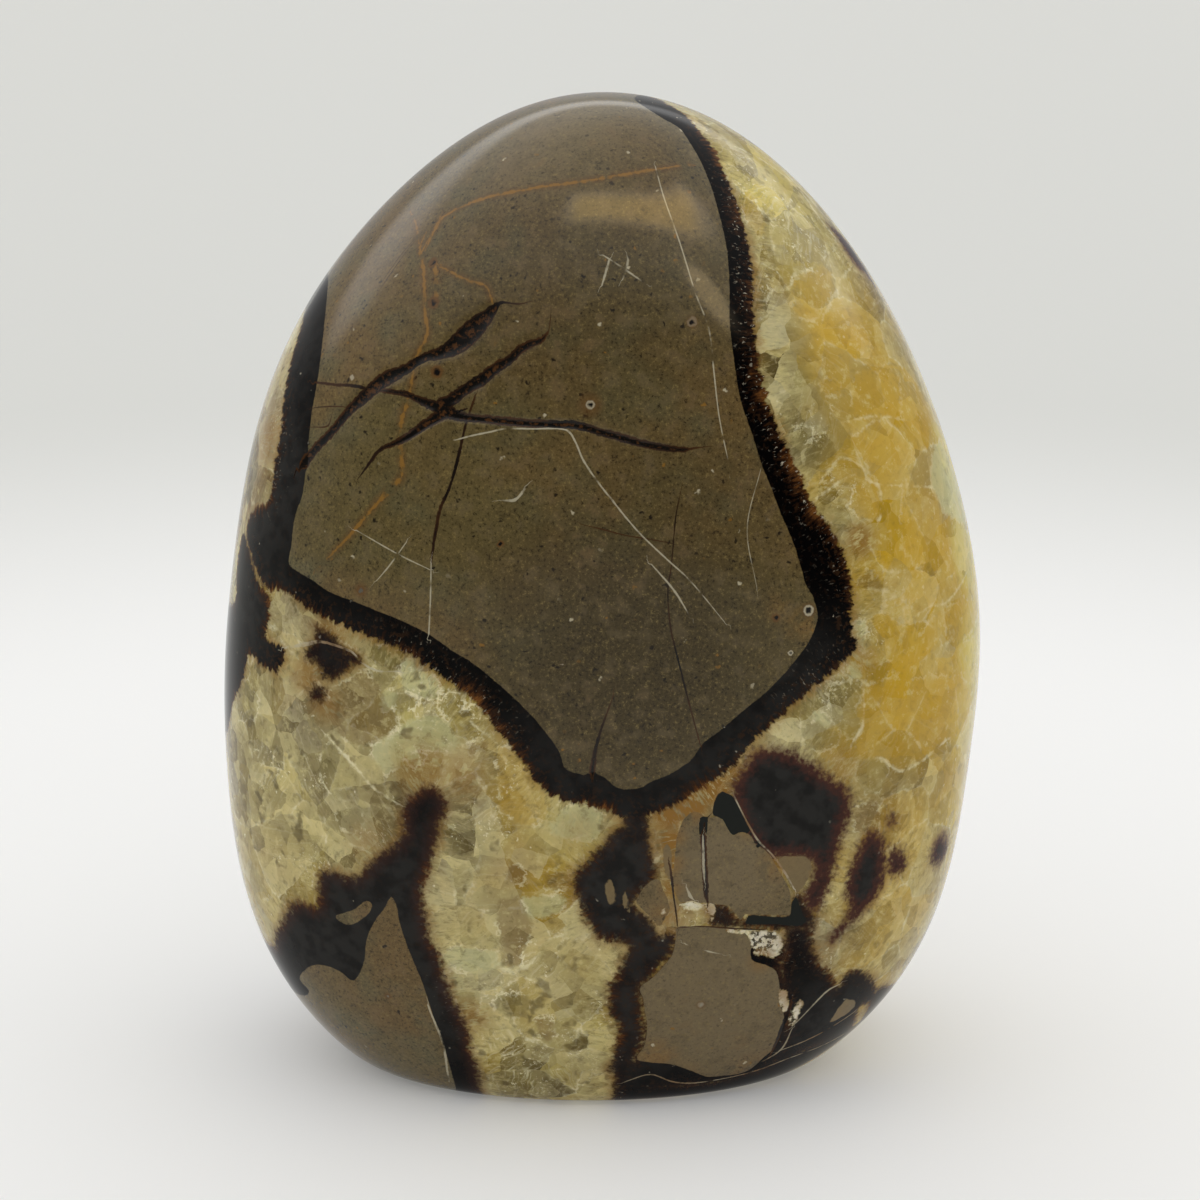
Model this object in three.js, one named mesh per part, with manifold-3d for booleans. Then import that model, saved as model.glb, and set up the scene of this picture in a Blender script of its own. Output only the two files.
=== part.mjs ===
// Septarian nodule: one concretion of mudstone blocks cemented by calcite and dark aragonite seams,
// ground to a flattened egg, polished all over and sawn flat underneath so that it stands.
//
// Units are millimetres. +Z is up, the polished face looks along -Y, and the origin is the middle of
// the sawn foot. The stone is one solid: the seams are grown through it and nothing comes apart.
import * as THREE from 'three';
import { mergeVertices } from 'three/addons/utils/BufferGeometryUtils.js';
import Module from 'manifold-3d';

// ---- driving dimensions ----------------------------------------------------------------------

// The heart is the point inside the stone that every radius is measured from.
const HEART_HEIGHT = 52;

// Outline of the face: radii from the heart at equal steps, clockwise from straight up.
const OUTLINE_RADII = [
  69.6, 63.4, 53.9, 48.7, 47.4, 49.4, 55.6, 60.0,
  62.8, 61.7, 57.4, 50.2, 46.7, 48.1, 54.6, 63.6,
];

// Half thickness at the heart, and how it eases toward the crown and the foot.
const FRONT_DEPTH = 32.5;
const BACK_DEPTH = 30.5;
const CROWN_LEAN = 0.04;
const END_THINNING = 0.02;

// Squareness of the cross-section: 2 is an ellipse, more is flatter faces and fuller edges.
const SECTION_POWER = 2.5;

// Wheel flats: soft planes where the grinder took the shoulders off, each facing `towards`.
const WHEEL_FLATS = [
  { towards: [-0.60, -0.42, 0.68], distance: 56.3 },
  { towards: [0.62, -0.50, 0.60], distance: 53.2 },
];
const FLAT_SHARPNESS = 26;

// The sawn foot is eased all round by a soft plane that lies just under it.
const FOOT_EASE_DEPTH = 0.2;
const FOOT_EASE_SHARPNESS = 50;

// Hand-ground waviness: a fraction of the radius, times two crossing waves over the direction.
const WAVE_HEIGHT = 0.0035;
const WAVES = [
  { along: [4.1, 0, 2.3], phase: 0.7 },
  { along: [0, -2.6, 3.4], phase: 2.1 },
];

// Icosahedron subdivision: 20 * (detail + 1)^2 triangles before the foot is sawn off.
const FACET_DETAIL = 18;

// ---- the shape rule --------------------------------------------------------------------------

// Fourier terms of the smooth closed curve that passes through equally spaced radii.
function fitHarmonics(radii) {
  const count = radii.length;
  const terms = [];
  for (let k = 0; k <= count / 2; k += 1) {
    const share = (k === 0 || k === count / 2 ? 1 : 2) / count;
    let cosine = 0;
    let sine = 0;
    radii.forEach((radius, step) => {
      const angle = (2 * Math.PI * k * step) / count;
      cosine += share * radius * Math.cos(angle);
      sine += share * radius * Math.sin(angle);
    });
    terms.push({ cosine, sine });
  }
  return terms;
}

const OUTLINE_TERMS = fitHarmonics(OUTLINE_RADII);

function outlineRadius(angle) {
  return OUTLINE_TERMS.reduce(
    (sum, term, k) => sum + term.cosine * Math.cos(k * angle) + term.sine * Math.sin(k * angle),
    0,
  );
}

// The smaller of two distances, with a rounded corner where they cross.
function softMin(a, b, sharpness) {
  return (a ** -sharpness + b ** -sharpness) ** (-1 / sharpness);
}

// Distance from the heart to a plane `distance` away from it, along a unit direction.
function planeReach(direction, towards, distance) {
  const facing = direction.dot(towards);
  return facing > 1e-6 ? distance / facing : Infinity;
}

// Distance from the heart to the polished skin, along a unit direction.
function skinRadius(direction) {
  const across = Math.hypot(direction.x, direction.z);
  const outline = outlineRadius(Math.atan2(direction.x, direction.z));
  const halfDepth = direction.y < 0 ? FRONT_DEPTH : BACK_DEPTH;
  const depth = halfDepth * (1 - CROWN_LEAN * direction.z - END_THINNING * direction.z ** 2);
  const bulk = (across / outline) ** SECTION_POWER + (Math.abs(direction.y) / depth) ** SECTION_POWER;
  let radius = bulk ** (-1 / SECTION_POWER);
  WHEEL_FLATS.forEach(({ towards, distance }) => {
    const facing = new THREE.Vector3(...towards).normalize();
    radius = softMin(radius, planeReach(direction, facing, distance), FLAT_SHARPNESS);
  });
  const down = new THREE.Vector3(0, 0, -1);
  const ease = planeReach(direction, down, HEART_HEIGHT + FOOT_EASE_DEPTH);
  radius = softMin(radius, ease, FOOT_EASE_SHARPNESS);
  const wave = WAVES.reduce(
    (product, { along, phase }) => product * Math.sin(direction.dot(new THREE.Vector3(...along)) + phase),
    1,
  );
  return radius * (1 + WAVE_HEIGHT * wave);
}

// ---- solids ----------------------------------------------------------------------------------

const wasm = await Module();
wasm.setup();

// A geometry's shared corners merged, as a solid that can be cut.
function toSolid(geometry) {
  const bare = geometry.clone();
  bare.deleteAttribute('normal');
  bare.deleteAttribute('uv');
  const merged = mergeVertices(bare, 1e-4);
  return new wasm.Manifold(new wasm.Mesh({
    numProp: 3,
    vertProperties: new Float32Array(merged.attributes.position.array),
    triVerts: new Uint32Array(merged.index.array),
  }));
}

function toGeometry(solid) {
  const { vertProperties, triVerts } = solid.getMesh();
  const geometry = new THREE.BufferGeometry();
  geometry.setAttribute('position', new THREE.BufferAttribute(new Float32Array(vertProperties), 3));
  geometry.setIndex(new THREE.BufferAttribute(new Uint32Array(triVerts), 1));
  geometry.computeVertexNormals();
  return geometry;
}

// The ground and polished stone, before the saw: an icosahedron's points moved out to the skin.
function groundStone() {
  const geometry = new THREE.IcosahedronGeometry(1, FACET_DETAIL);
  const points = geometry.attributes.position;
  const direction = new THREE.Vector3();
  for (let i = 0; i < points.count; i += 1) {
    direction.fromBufferAttribute(points, i).normalize();
    direction.multiplyScalar(skinRadius(direction));
    points.setXYZ(i, direction.x, direction.y, direction.z + HEART_HEIGHT);
  }
  return geometry;
}

// Everything under the sawn foot, as a block that the cut takes away.
function wasteBlock() {
  const side = 120;
  const thickness = 40;
  const block = new THREE.BoxGeometry(side, side, thickness);
  block.translate(0, 0, -thickness / 2);
  return block;
}

const stone = toSolid(groundStone()).subtract(toSolid(wasteBlock()));

const nodule = new THREE.Mesh(
  toGeometry(stone),
  new THREE.MeshStandardMaterial({ color: 0x756b4f, roughness: 0.18, metalness: 0 }),
);
nodule.name = 'septarian_nodule';

const part = new THREE.Group();
part.add(nodule);

export default part;
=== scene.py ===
"""A polished septarian nodule: mudstone blocks set in dark seams and honey calcite.

The stone is one closed skin. A rule gives its radius in every direction from its heart, the markings
are drawn on it in millimetres, and one finish reads them to tell mudstone, seam and calcite apart.
Lengths in this script are millimetres unless a name says otherwise; the mesh is delivered in metres.
"""

from __future__ import annotations

import logging
import math
from dataclasses import dataclass
from enum import Enum
from typing import Any, Callable, NamedTuple, Sequence, Union

import bpy
import numpy as np
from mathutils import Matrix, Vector
from mathutils.bvhtree import BVHTree


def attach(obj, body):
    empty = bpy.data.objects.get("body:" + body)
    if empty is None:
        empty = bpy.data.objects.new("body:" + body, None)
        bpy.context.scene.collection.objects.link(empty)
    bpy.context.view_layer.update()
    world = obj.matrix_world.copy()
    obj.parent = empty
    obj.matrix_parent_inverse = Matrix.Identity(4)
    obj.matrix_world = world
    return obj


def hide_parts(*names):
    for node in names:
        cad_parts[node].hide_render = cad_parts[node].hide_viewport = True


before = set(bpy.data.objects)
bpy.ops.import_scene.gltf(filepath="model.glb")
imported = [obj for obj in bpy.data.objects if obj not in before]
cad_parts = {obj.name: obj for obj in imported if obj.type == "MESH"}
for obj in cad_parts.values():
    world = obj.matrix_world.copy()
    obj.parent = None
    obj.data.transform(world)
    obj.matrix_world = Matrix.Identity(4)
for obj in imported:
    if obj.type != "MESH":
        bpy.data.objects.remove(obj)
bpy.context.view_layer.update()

log = logging.getLogger("nodule")

MILLIMETRE = 0.001
CLEAR_OF_STONE = 200.0
FAR_AWAY = 1.0e4

# Floors that keep a division from running away.
TINY = 1.0e-6
NARROWEST = 1.0e-5
SHORTEST = 1.0e-3
LEAST_SQUARE = 1.0e-9

# How upright a unit vector is before another one is crossed with it.
NEARLY_UPRIGHT = 0.9

# How many point-and-leg pairs are measured at once, for the memory's sake.
MOST_PAIRS = 4_000_000


# ---- node boards -----------------------------------------------------------------------------


def tone(code: str) -> tuple[float, float, float, float]:
    """A colour code such as "645C4B" as the linear colour that sockets take."""
    levels = []
    for start in (0, 2, 4):
        level = int(code[start : start + 2], 16) / 255
        levels.append(level / 12.92 if level <= 0.04045 else ((level + 0.055) / 1.055) ** 2.4)
    return (*levels, 1.0)


def sign(operation: str, turned: bool = False) -> Callable[[Reading, Number], Reading]:
    """Makes the method behind an arithmetic sign.

    Args:
        operation: The Math node's operation.
        turned: Whether the other number comes first.

    Returns:
        The method.
    """

    def method(self: Reading, other: Number) -> Reading:
        """This number and another in one Math node."""
        pair = (other, self) if turned else (self, other)
        return self.board.math(operation, *pair)

    return method


class Wire:
    """What a node gives through one of its sockets."""

    def __init__(self, board: Board, socket: bpy.types.NodeSocket) -> None:
        """Keeps the board and the socket."""
        self.board = board
        self.socket = socket


class Reading(Wire):
    """A number that a node gives, open to arithmetic that adds more nodes."""

    __add__ = sign("ADD")
    __radd__ = sign("ADD", turned=True)
    __sub__ = sign("SUBTRACT")
    __rsub__ = sign("SUBTRACT", turned=True)
    __mul__ = sign("MULTIPLY")
    __rmul__ = sign("MULTIPLY", turned=True)
    __truediv__ = sign("DIVIDE")
    __rtruediv__ = sign("DIVIDE", turned=True)
    __pow__ = sign("POWER")
    at_least = sign("MAXIMUM")
    at_most = sign("MINIMUM")

    def __abs__(self) -> Reading:
        """This number without its sign."""
        return self.board.math("ABSOLUTE", self)

    def rise(self, low: float, high: float) -> Reading:
        """Eases from 0 at `low` to 1 at `high`."""
        eased = self.board.node(
            "ShaderNodeMapRange",
            {"interpolation_type": "SMOOTHSTEP"},
            {"Value": self, "From Min": low, "From Max": high},
        )
        return Reading(self.board, eased.outputs["Result"])

    def fall(self, low: float, high: float) -> Reading:
        """Eases from 1 at `low` to 0 at `high`."""
        return 1.0 - self.rise(low, high)


Number = Union[Reading, float]


class Place(Wire):
    """A vector that a node gives, in millimetres."""

    def __add__(self, other: Place | Sequence[float]) -> Place:
        """This vector plus another."""
        return self.board.vector("ADD", self, other)

    def __sub__(self, other: Place | Sequence[float]) -> Place:
        """This vector less another."""
        return self.board.vector("SUBTRACT", self, other)

    def __mul__(self, other: Place | Sequence[float]) -> Place:
        """This vector times another, axis by axis."""
        return self.board.vector("MULTIPLY", self, other)

    def scaled(self, factor: Number) -> Place:
        """This vector times a number."""
        scaling = self.board.node(
            "ShaderNodeVectorMath", {"operation": "SCALE"}, {0: self, "Scale": factor}
        )
        return Place(self.board, scaling.outputs["Vector"])

    def dot(self, other: Place | Sequence[float]) -> Reading:
        """The dot product with another vector."""
        product = self.board.node(
            "ShaderNodeVectorMath", {"operation": "DOT_PRODUCT"}, {0: self, 1: other}
        )
        return Reading(self.board, product.outputs["Value"])

    def length(self) -> Reading:
        """How long this vector is."""
        measure = self.board.node("ShaderNodeVectorMath", {"operation": "LENGTH"}, {0: self})
        return Reading(self.board, measure.outputs["Value"])

    def unit(self) -> Place:
        """This vector at length 1."""
        return self.board.vector("NORMALIZE", self)

    def parts(self) -> tuple[Reading, Reading, Reading]:
        """The three numbers of this vector."""
        split = self.board.node("ShaderNodeSeparateXYZ", sockets={0: self})
        across, along, up = (Reading(self.board, out) for out in split.outputs)
        return across, along, up


class Tint(Wire):
    """A colour that a node gives."""

    def toward(self, other: Colour, share: Number) -> Tint:
        """Blends in a share of another colour, from 0 to 1."""
        return self.board.blended(self, other, share)

    def coated(self, *coats: tuple[Colour, Number]) -> Tint:
        """Blends in several colours one after another, each by its share."""
        paint = self
        for other, share in coats:
            paint = paint.toward(other, share)
        return paint


Colour = Union[Tint, str]
Value = Union[Wire, bpy.types.NodeSocket, float, int, Sequence[float]]


class Board:
    """A node tree, and the one way nodes are put on it."""

    def __init__(self, tree: bpy.types.NodeTree) -> None:
        """Starts on a tree."""
        self.tree = tree

    @staticmethod
    def fresh(owner: bpy.types.Material | bpy.types.World) -> Board:
        """The board of a material or a world, with nothing on it yet."""
        owner.use_nodes = True
        owner.node_tree.nodes.clear()
        return Board(owner.node_tree)

    def spot(self, kind: str) -> Place:
        """The coordinates of one kind, such as Object."""
        return Place(self, self.node("ShaderNodeTexCoord").outputs[kind])

    def node(
        self,
        kind: str,
        settings: dict[str, Any] | None = None,
        sockets: dict[str | int, Value] | None = None,
    ) -> bpy.types.Node:
        """Adds a node, sets it up, and fills its sockets.

        Args:
            kind: The node's type.
            settings: Its own settings.
            sockets: What goes into its sockets, by name or number.

        Returns:
            The new node.
        """
        made = self.tree.nodes.new(kind)
        for name, value in (settings or {}).items():
            setattr(made, name, value)
        for key, value in (sockets or {}).items():
            source = value.socket if isinstance(value, Wire) else value
            if isinstance(source, bpy.types.NodeSocket):
                self.tree.links.new(source, made.inputs[key])
            else:
                made.inputs[key].default_value = source
        return made

    def math(self, operation: str, *values: Number) -> Reading:
        """A Math node on the given numbers."""
        made = self.node("ShaderNodeMath", {"operation": operation}, dict(enumerate(values)))
        return Reading(self, made.outputs[0])

    def vector(self, operation: str, *values: Place | Sequence[float]) -> Place:
        """A Vector Math node on the given vectors."""
        made = self.node("ShaderNodeVectorMath", {"operation": operation}, dict(enumerate(values)))
        return Place(self, made.outputs["Vector"])

    def joined(self, across: Number, along: Number, up: Number = 0.0) -> Place:
        """A vector made of three numbers."""
        made = self.node("ShaderNodeCombineXYZ", sockets={0: across, 1: along, 2: up})
        return Place(self, made.outputs[0])

    def blended(self, first: Colour, second: Colour, share: Number) -> Tint:
        """A Mix node between two colours."""
        ends = [tone(end) if isinstance(end, str) else end for end in (first, second)]
        settings = {"data_type": "RGBA", "clamp_factor": True}
        made = self.node("ShaderNodeMix", settings, {0: share, 6: ends[0], 7: ends[1]})
        return Tint(self, made.outputs[2])

    def reading(self, kept: str | Enum) -> Reading:
        """A number kept on the mesh."""
        name = kept.value if isinstance(kept, Enum) else kept
        made = self.node("ShaderNodeAttribute", {"attribute_name": name})
        return Reading(self, made.outputs["Fac"])

    def level(self, kept: Enum) -> Reading:
        """How strongly a tone kept on the mesh shows, at most 1."""
        return self.reading(kept).at_most(1.0)

    def place(self, attribute: str) -> Place:
        """A vector kept on the mesh."""
        made = self.node("ShaderNodeAttribute", {"attribute_name": attribute})
        return Place(self, made.outputs["Vector"])

    def cloud(self, where: Place, per_mm: float, detail: float = 2.0, rough: float = 0.5) -> Reading:
        """Soft noise around 0.5, with `per_mm` lumps to the millimetre."""
        sockets = {"Vector": where, "Scale": per_mm, "Detail": detail, "Roughness": rough}
        made = self.node("ShaderNodeTexNoise", sockets=sockets)
        return Reading(self, made.outputs["Fac"])

    def drift(self, where: Place, per_mm: float, reach: float, detail: float = 2.0) -> Place:
        """The place moved about by up to half of `reach`, to roughen whatever reads it."""
        sockets = {"Vector": where, "Scale": per_mm, "Detail": detail}
        made = self.node("ShaderNodeTexNoise", sockets=sockets)
        offset = Place(self, made.outputs["Color"]) - (0.5, 0.5, 0.5)
        return where + offset.scaled(reach)


# ---- the skin --------------------------------------------------------------------------------


class WheelFlat(NamedTuple):
    """A soft plane where the grinder took a shoulder off."""

    towards: tuple[float, float, float]
    distance: float


@dataclass(frozen=True)
class SkinRule:
    """The sizes of the rule that gives the skin's distance from the heart."""

    heart_height: float = 52.0
    outline_radii: tuple[float, ...] = (
        69.6, 63.4, 53.9, 48.7, 47.4, 49.4, 55.6, 60.0,
        62.8, 61.7, 57.4, 50.2, 46.7, 48.1, 54.6, 63.6,
    )
    front_depth: float = 32.5
    back_depth: float = 30.5
    crown_lean: float = 0.04
    end_thinning: float = 0.02
    section_power: float = 2.5
    shoulders: tuple[WheelFlat, ...] = (
        WheelFlat((-0.60, -0.42, 0.68), 56.3),
        WheelFlat((0.62, -0.50, 0.60), 53.2),
    )
    shoulder_sharpness: float = 26.0
    foot_ease_depth: float = 0.2
    foot_ease_sharpness: float = 50.0
    wave_height: float = 0.0035
    waves: tuple[tuple[tuple[float, float, float], float], ...] = (
        ((4.1, 0.0, 2.3), 0.7),
        ((0.0, -2.6, 3.4), 2.1),
    )

    def harmonics(self) -> list[tuple[float, float]]:
        """Swing and turn of each wave of the outline.

        Returns:
            Pairs (swing, turn): the outline's radius at an angle is the sum over k of
            swing * cos(k * angle - turn), and passes through every radius given.
        """
        count = len(self.outline_radii)
        terms = []
        for k in range(count // 2 + 1):
            share = (1 if k in (0, count // 2) else 2) / count
            turns = [2 * math.pi * k * step / count for step in range(count)]
            cosine = share * sum(r * math.cos(t) for r, t in zip(self.outline_radii, turns))
            sine = share * sum(r * math.sin(t) for r, t in zip(self.outline_radii, turns))
            terms.append((math.hypot(cosine, sine), math.atan2(sine, cosine)))
        return terms


@dataclass(frozen=True)
class SkinBlock:
    """The gridded block whose points are moved out to the skin."""

    block_width: float = 94.0
    block_depth: float = 63.0
    block_height: float = 121.0
    points_across: int = 131
    points_through: int = 88
    points_upward: int = 169
    front_crowding: float = 0.84


class SkinTree:
    """Geometry nodes that grow a gridded block into the skin."""

    def __init__(self, rule: SkinRule, block: SkinBlock) -> None:
        """Builds the tree with a named input for every size."""
        self.rule = rule
        self.block = block
        self.values: dict[str, Any] = {}
        self.tree = bpy.data.node_groups.new("nodule skin", "GeometryNodeTree")
        self.board = Board(self.tree)
        self._open("Skin", "Geometry", "OUTPUT")
        self._open("Start", "Geometry")
        self._list_inputs()
        self.given = self.tree.nodes.new("NodeGroupInput")
        self._wire()

    def _list_inputs(self) -> None:
        """Names every size of the rule as an input of the tree."""
        for field, value in {**vars(self.block), **vars(self.rule)}.items():
            if isinstance(value, (int, float)):
                self.values[field.replace("_", " ").title()] = value
        for number, shoulder in enumerate(self.rule.shoulders, 1):
            self.values[f"Shoulder {number} Distance"] = shoulder.distance
        for order, (swing, turn) in enumerate(self.rule.harmonics()):
            self.values[f"Outline Swing {order}"] = swing
            self.values[f"Outline Turn {order}"] = turn
        for name, value in self.values.items():
            self._open(name, "Int" if isinstance(value, int) else "Float")
        self._open("Finish", "Material")

    def _open(self, name: str, kind: str, in_out: str = "INPUT") -> None:
        """Adds one socket to the tree's own inputs or outputs."""
        self.tree.interface.new_socket(name=name, in_out=in_out, socket_type="NodeSocket" + kind)

    def _size(self, name: str) -> Reading:
        """One of the tree's own inputs."""
        return Reading(self.board, self.given.outputs[name])

    def _outline(self, angle: Reading) -> Reading:
        """The outline's radius at an angle from straight up."""
        radius: Number = 0.0
        for order in range(len(self.rule.harmonics())):
            swing, turn = self._size(f"Outline Swing {order}"), self._size(f"Outline Turn {order}")
            radius = radius + swing * self.board.math("COSINE", angle * float(order) - turn)
        return radius

    def _plane_reach(self, way: Place, towards: Sequence[float], distance: Number) -> Reading:
        """Distance from the heart to a plane, along a direction that may face away from it."""
        facing = way.dot(tuple(Vector(towards).normalized()))
        reach = distance / facing.at_least(TINY)
        return reach.at_most(FAR_AWAY)

    @staticmethod
    def _softer(first: Reading, second: Reading, sharpness: Reading) -> Reading:
        """The smaller of two distances, with a rounded corner where they cross."""
        less = 0.0 - sharpness
        share = (first / second) ** sharpness
        return first * (1.0 + share) ** (1.0 / less)

    def _crowd_front(self, way: Place) -> Place:
        """Slides directions toward the front, so that the face gets the finer grid."""
        across, through, up = way.parts()
        squeeze = self._size("Front Crowding")
        ahead = 1.0 - through
        behind = squeeze * squeeze * (1.0 + through)
        whole = ahead + behind
        widen = 2.0 * squeeze / whole
        return self.board.joined(across * widen, (behind - ahead) / whole, up * widen)

    def _radius(self, way: Place) -> Reading:
        """Distance from the heart to the skin, along a unit direction."""
        board, rule = self.board, self.rule
        across, through, up = way.parts()
        spread = board.math("SQRT", across * across + up * up).at_least(NARROWEST)
        outline = self._outline(board.math("ARCTAN2", across, up))
        behind = board.math("GREATER_THAN", through, 0.0)
        half = self._size("Front Depth") * (1.0 - behind) + self._size("Back Depth") * behind
        depth = half * (1.0 - self._size("Crown Lean") * up - self._size("End Thinning") * up * up)
        power = self._size("Section Power")
        bulk = (spread / outline) ** power + (abs(through) / depth) ** power
        radius = bulk ** (-1.0 / power)
        for number, shoulder in enumerate(rule.shoulders, 1):
            distance = self._size(f"Shoulder {number} Distance")
            reach = self._plane_reach(way, shoulder.towards, distance)
            radius = self._softer(radius, reach, self._size("Shoulder Sharpness"))
        ease = self._size("Heart Height") + self._size("Foot Ease Depth")
        down = (0.0, 0.0, -1.0)
        foot = self._plane_reach(way, down, ease)
        radius = self._softer(radius, foot, self._size("Foot Ease Sharpness"))
        wave: Number = 1.0
        for along, phase in rule.waves:
            wave = board.math("SINE", way.dot(along) + phase) * wave
        radius = radius * (1.0 + self._size("Wave Height") * wave)
        sawn = self._plane_reach(way, down, self._size("Heart Height"))
        return radius.at_most(sawn)

    def _wire(self) -> None:
        """Block, direction, radius, place, shading, finish."""
        board = self.board
        sides = (self._size(f"Block {side}") for side in ("Width", "Depth", "Height"))
        block = board.node(
            "GeometryNodeMeshCube",
            sockets={
                "Size": board.joined(*sides),
                "Vertices X": self._size("Points Across"),
                "Vertices Y": self._size("Points Through"),
                "Vertices Z": self._size("Points Upward"),
            },
        )
        here = Place(board, board.node("GeometryNodeInputPosition").outputs[0])
        way = self._crowd_front(here.unit())
        heart = board.joined(0.0, 0.0, self._size("Heart Height"))
        skin = (way.scaled(self._radius(way)) + heart).scaled(MILLIMETRE)
        moved = board.node(
            "GeometryNodeSetPosition", sockets={"Geometry": block.outputs[0], "Position": skin}
        )
        smooth = board.node("GeometryNodeSetShadeSmooth", sockets={0: moved.outputs[0]})
        real = board.node("GeometryNodeRealizeInstances", sockets={0: smooth.outputs[0]})
        dressed = board.node(
            "GeometryNodeSetMaterial",
            sockets={"Geometry": real.outputs[0], "Material": self.given.outputs["Finish"]},
        )
        board.node("NodeGroupOutput", sockets={0: dressed.outputs[0]})

    def grow(self, name: str, finish: bpy.types.Material) -> bpy.types.Object:
        """Runs the tree once and keeps its result as a plain mesh.

        Args:
            name: The name of the new object.
            finish: The material it wears.

        Returns:
            The object, at the origin, with no modifier left on it.
        """
        seed = bpy.data.objects.new(name, bpy.data.meshes.new(name))
        bpy.context.scene.collection.objects.link(seed)
        modifier = seed.modifiers.new("skin", "NODES")
        modifier.node_group = self.tree
        for item in self.tree.interface.items_tree:
            if item.in_out == "INPUT" and item.name in self.values:
                modifier[item.identifier] = self.values[item.name]
            elif item.name == "Finish":
                modifier[item.identifier] = finish
        bpy.context.view_layer.update()
        depsgraph = bpy.context.evaluated_depsgraph_get()
        plain = bpy.data.meshes.new_from_object(seed.evaluated_get(depsgraph))
        seed.modifiers.remove(modifier)
        seed.data = plain
        plain.name = name
        return seed


# ---- drawing on the skin ---------------------------------------------------------------------


class Camera(NamedTuple):
    """Where the face is looked at from, and how the face drawing lies."""

    distance: float = 450.0
    elevation: float = 15.0
    target_height: float = 58.5
    lens: float = 108.0
    sensor: float = 36.0

    def eye(self) -> Vector:
        """The camera's place."""
        tilt = math.radians(self.elevation)
        back = Vector((0.0, -math.cos(tilt), math.sin(tilt)))
        return self.target() + back * self.distance

    def target(self) -> Vector:
        """The point looked at, which is the middle of the face drawing."""
        return Vector((0.0, 0.0, self.target_height))

    def upward(self) -> Vector:
        """The face drawing's up direction."""
        tilt = math.radians(self.elevation)
        return Vector((0.0, math.sin(tilt), math.cos(tilt)))


class Round(NamedTuple):
    """A place on the sides or the back: degrees from the front by the right, and height."""

    azimuth: float
    height: float


Spot = Union[tuple[float, float], Round]


class Skin:
    """The finished skin, and the ways of finding a place on it."""

    def __init__(self, piece: bpy.types.Object, camera: Camera) -> None:
        """Reads the mesh once, in millimetres."""
        mesh = piece.data
        self.piece = piece
        self.camera = camera
        count = len(mesh.vertices)
        flat = np.empty(count * 3)
        mesh.vertices.foreach_get("co", flat)
        self.points = flat.reshape(count, 3) / MILLIMETRE
        faces = [tuple(face.vertices) for face in mesh.polygons]
        self.tree = BVHTree.FromPolygons([tuple(p) for p in self.points], faces)
        self.heart = Vector((0.0, 0.0, SkinRule.heart_height))
        ways = self.points - np.array(self.heart)
        self.ways = ways / np.linalg.norm(ways, axis=1)[:, None]

    def find(self, spot: Spot) -> Vector:
        """The point of the skin that a spot of the drawing means.

        Args:
            spot: Millimetres right and up on the face drawing, or a Round.

        Returns:
            The point, in millimetres.
        """
        if isinstance(spot, Round):
            turn = math.radians(spot.azimuth)
            out = Vector((math.sin(turn), -math.cos(turn), 0.0))
            axis = Vector((0.0, 0.0, spot.height))
            return self.tree.ray_cast(axis + out * CLEAR_OF_STONE, -out)[0]
        eye = self.camera.eye()
        right, up = spot
        drawn = self.camera.target() + Vector((right, 0.0, 0.0)) + self.camera.upward() * up
        sight = (drawn - eye).normalized()
        hit = self.tree.ray_cast(eye, sight)[0]
        if hit is None:
            passing = eye + sight * (self.heart - eye).dot(sight)
            hit = self.tree.find_nearest(passing)[0]
        return hit

    def gap(self, spot: Spot) -> np.ndarray:
        """How far each point of the skin is from a spot of the drawing."""
        return np.linalg.norm(self.points - np.array(self.find(spot)), axis=1)

    def drop(self, point: Vector) -> tuple[Vector, Vector]:
        """The skin's point and normal straight out from the heart through a point."""
        way = (point - self.heart).normalized()
        hit, normal = self.tree.ray_cast(self.heart, way)[:2]
        return hit, normal if normal.dot(way) > 0 else -normal


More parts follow.
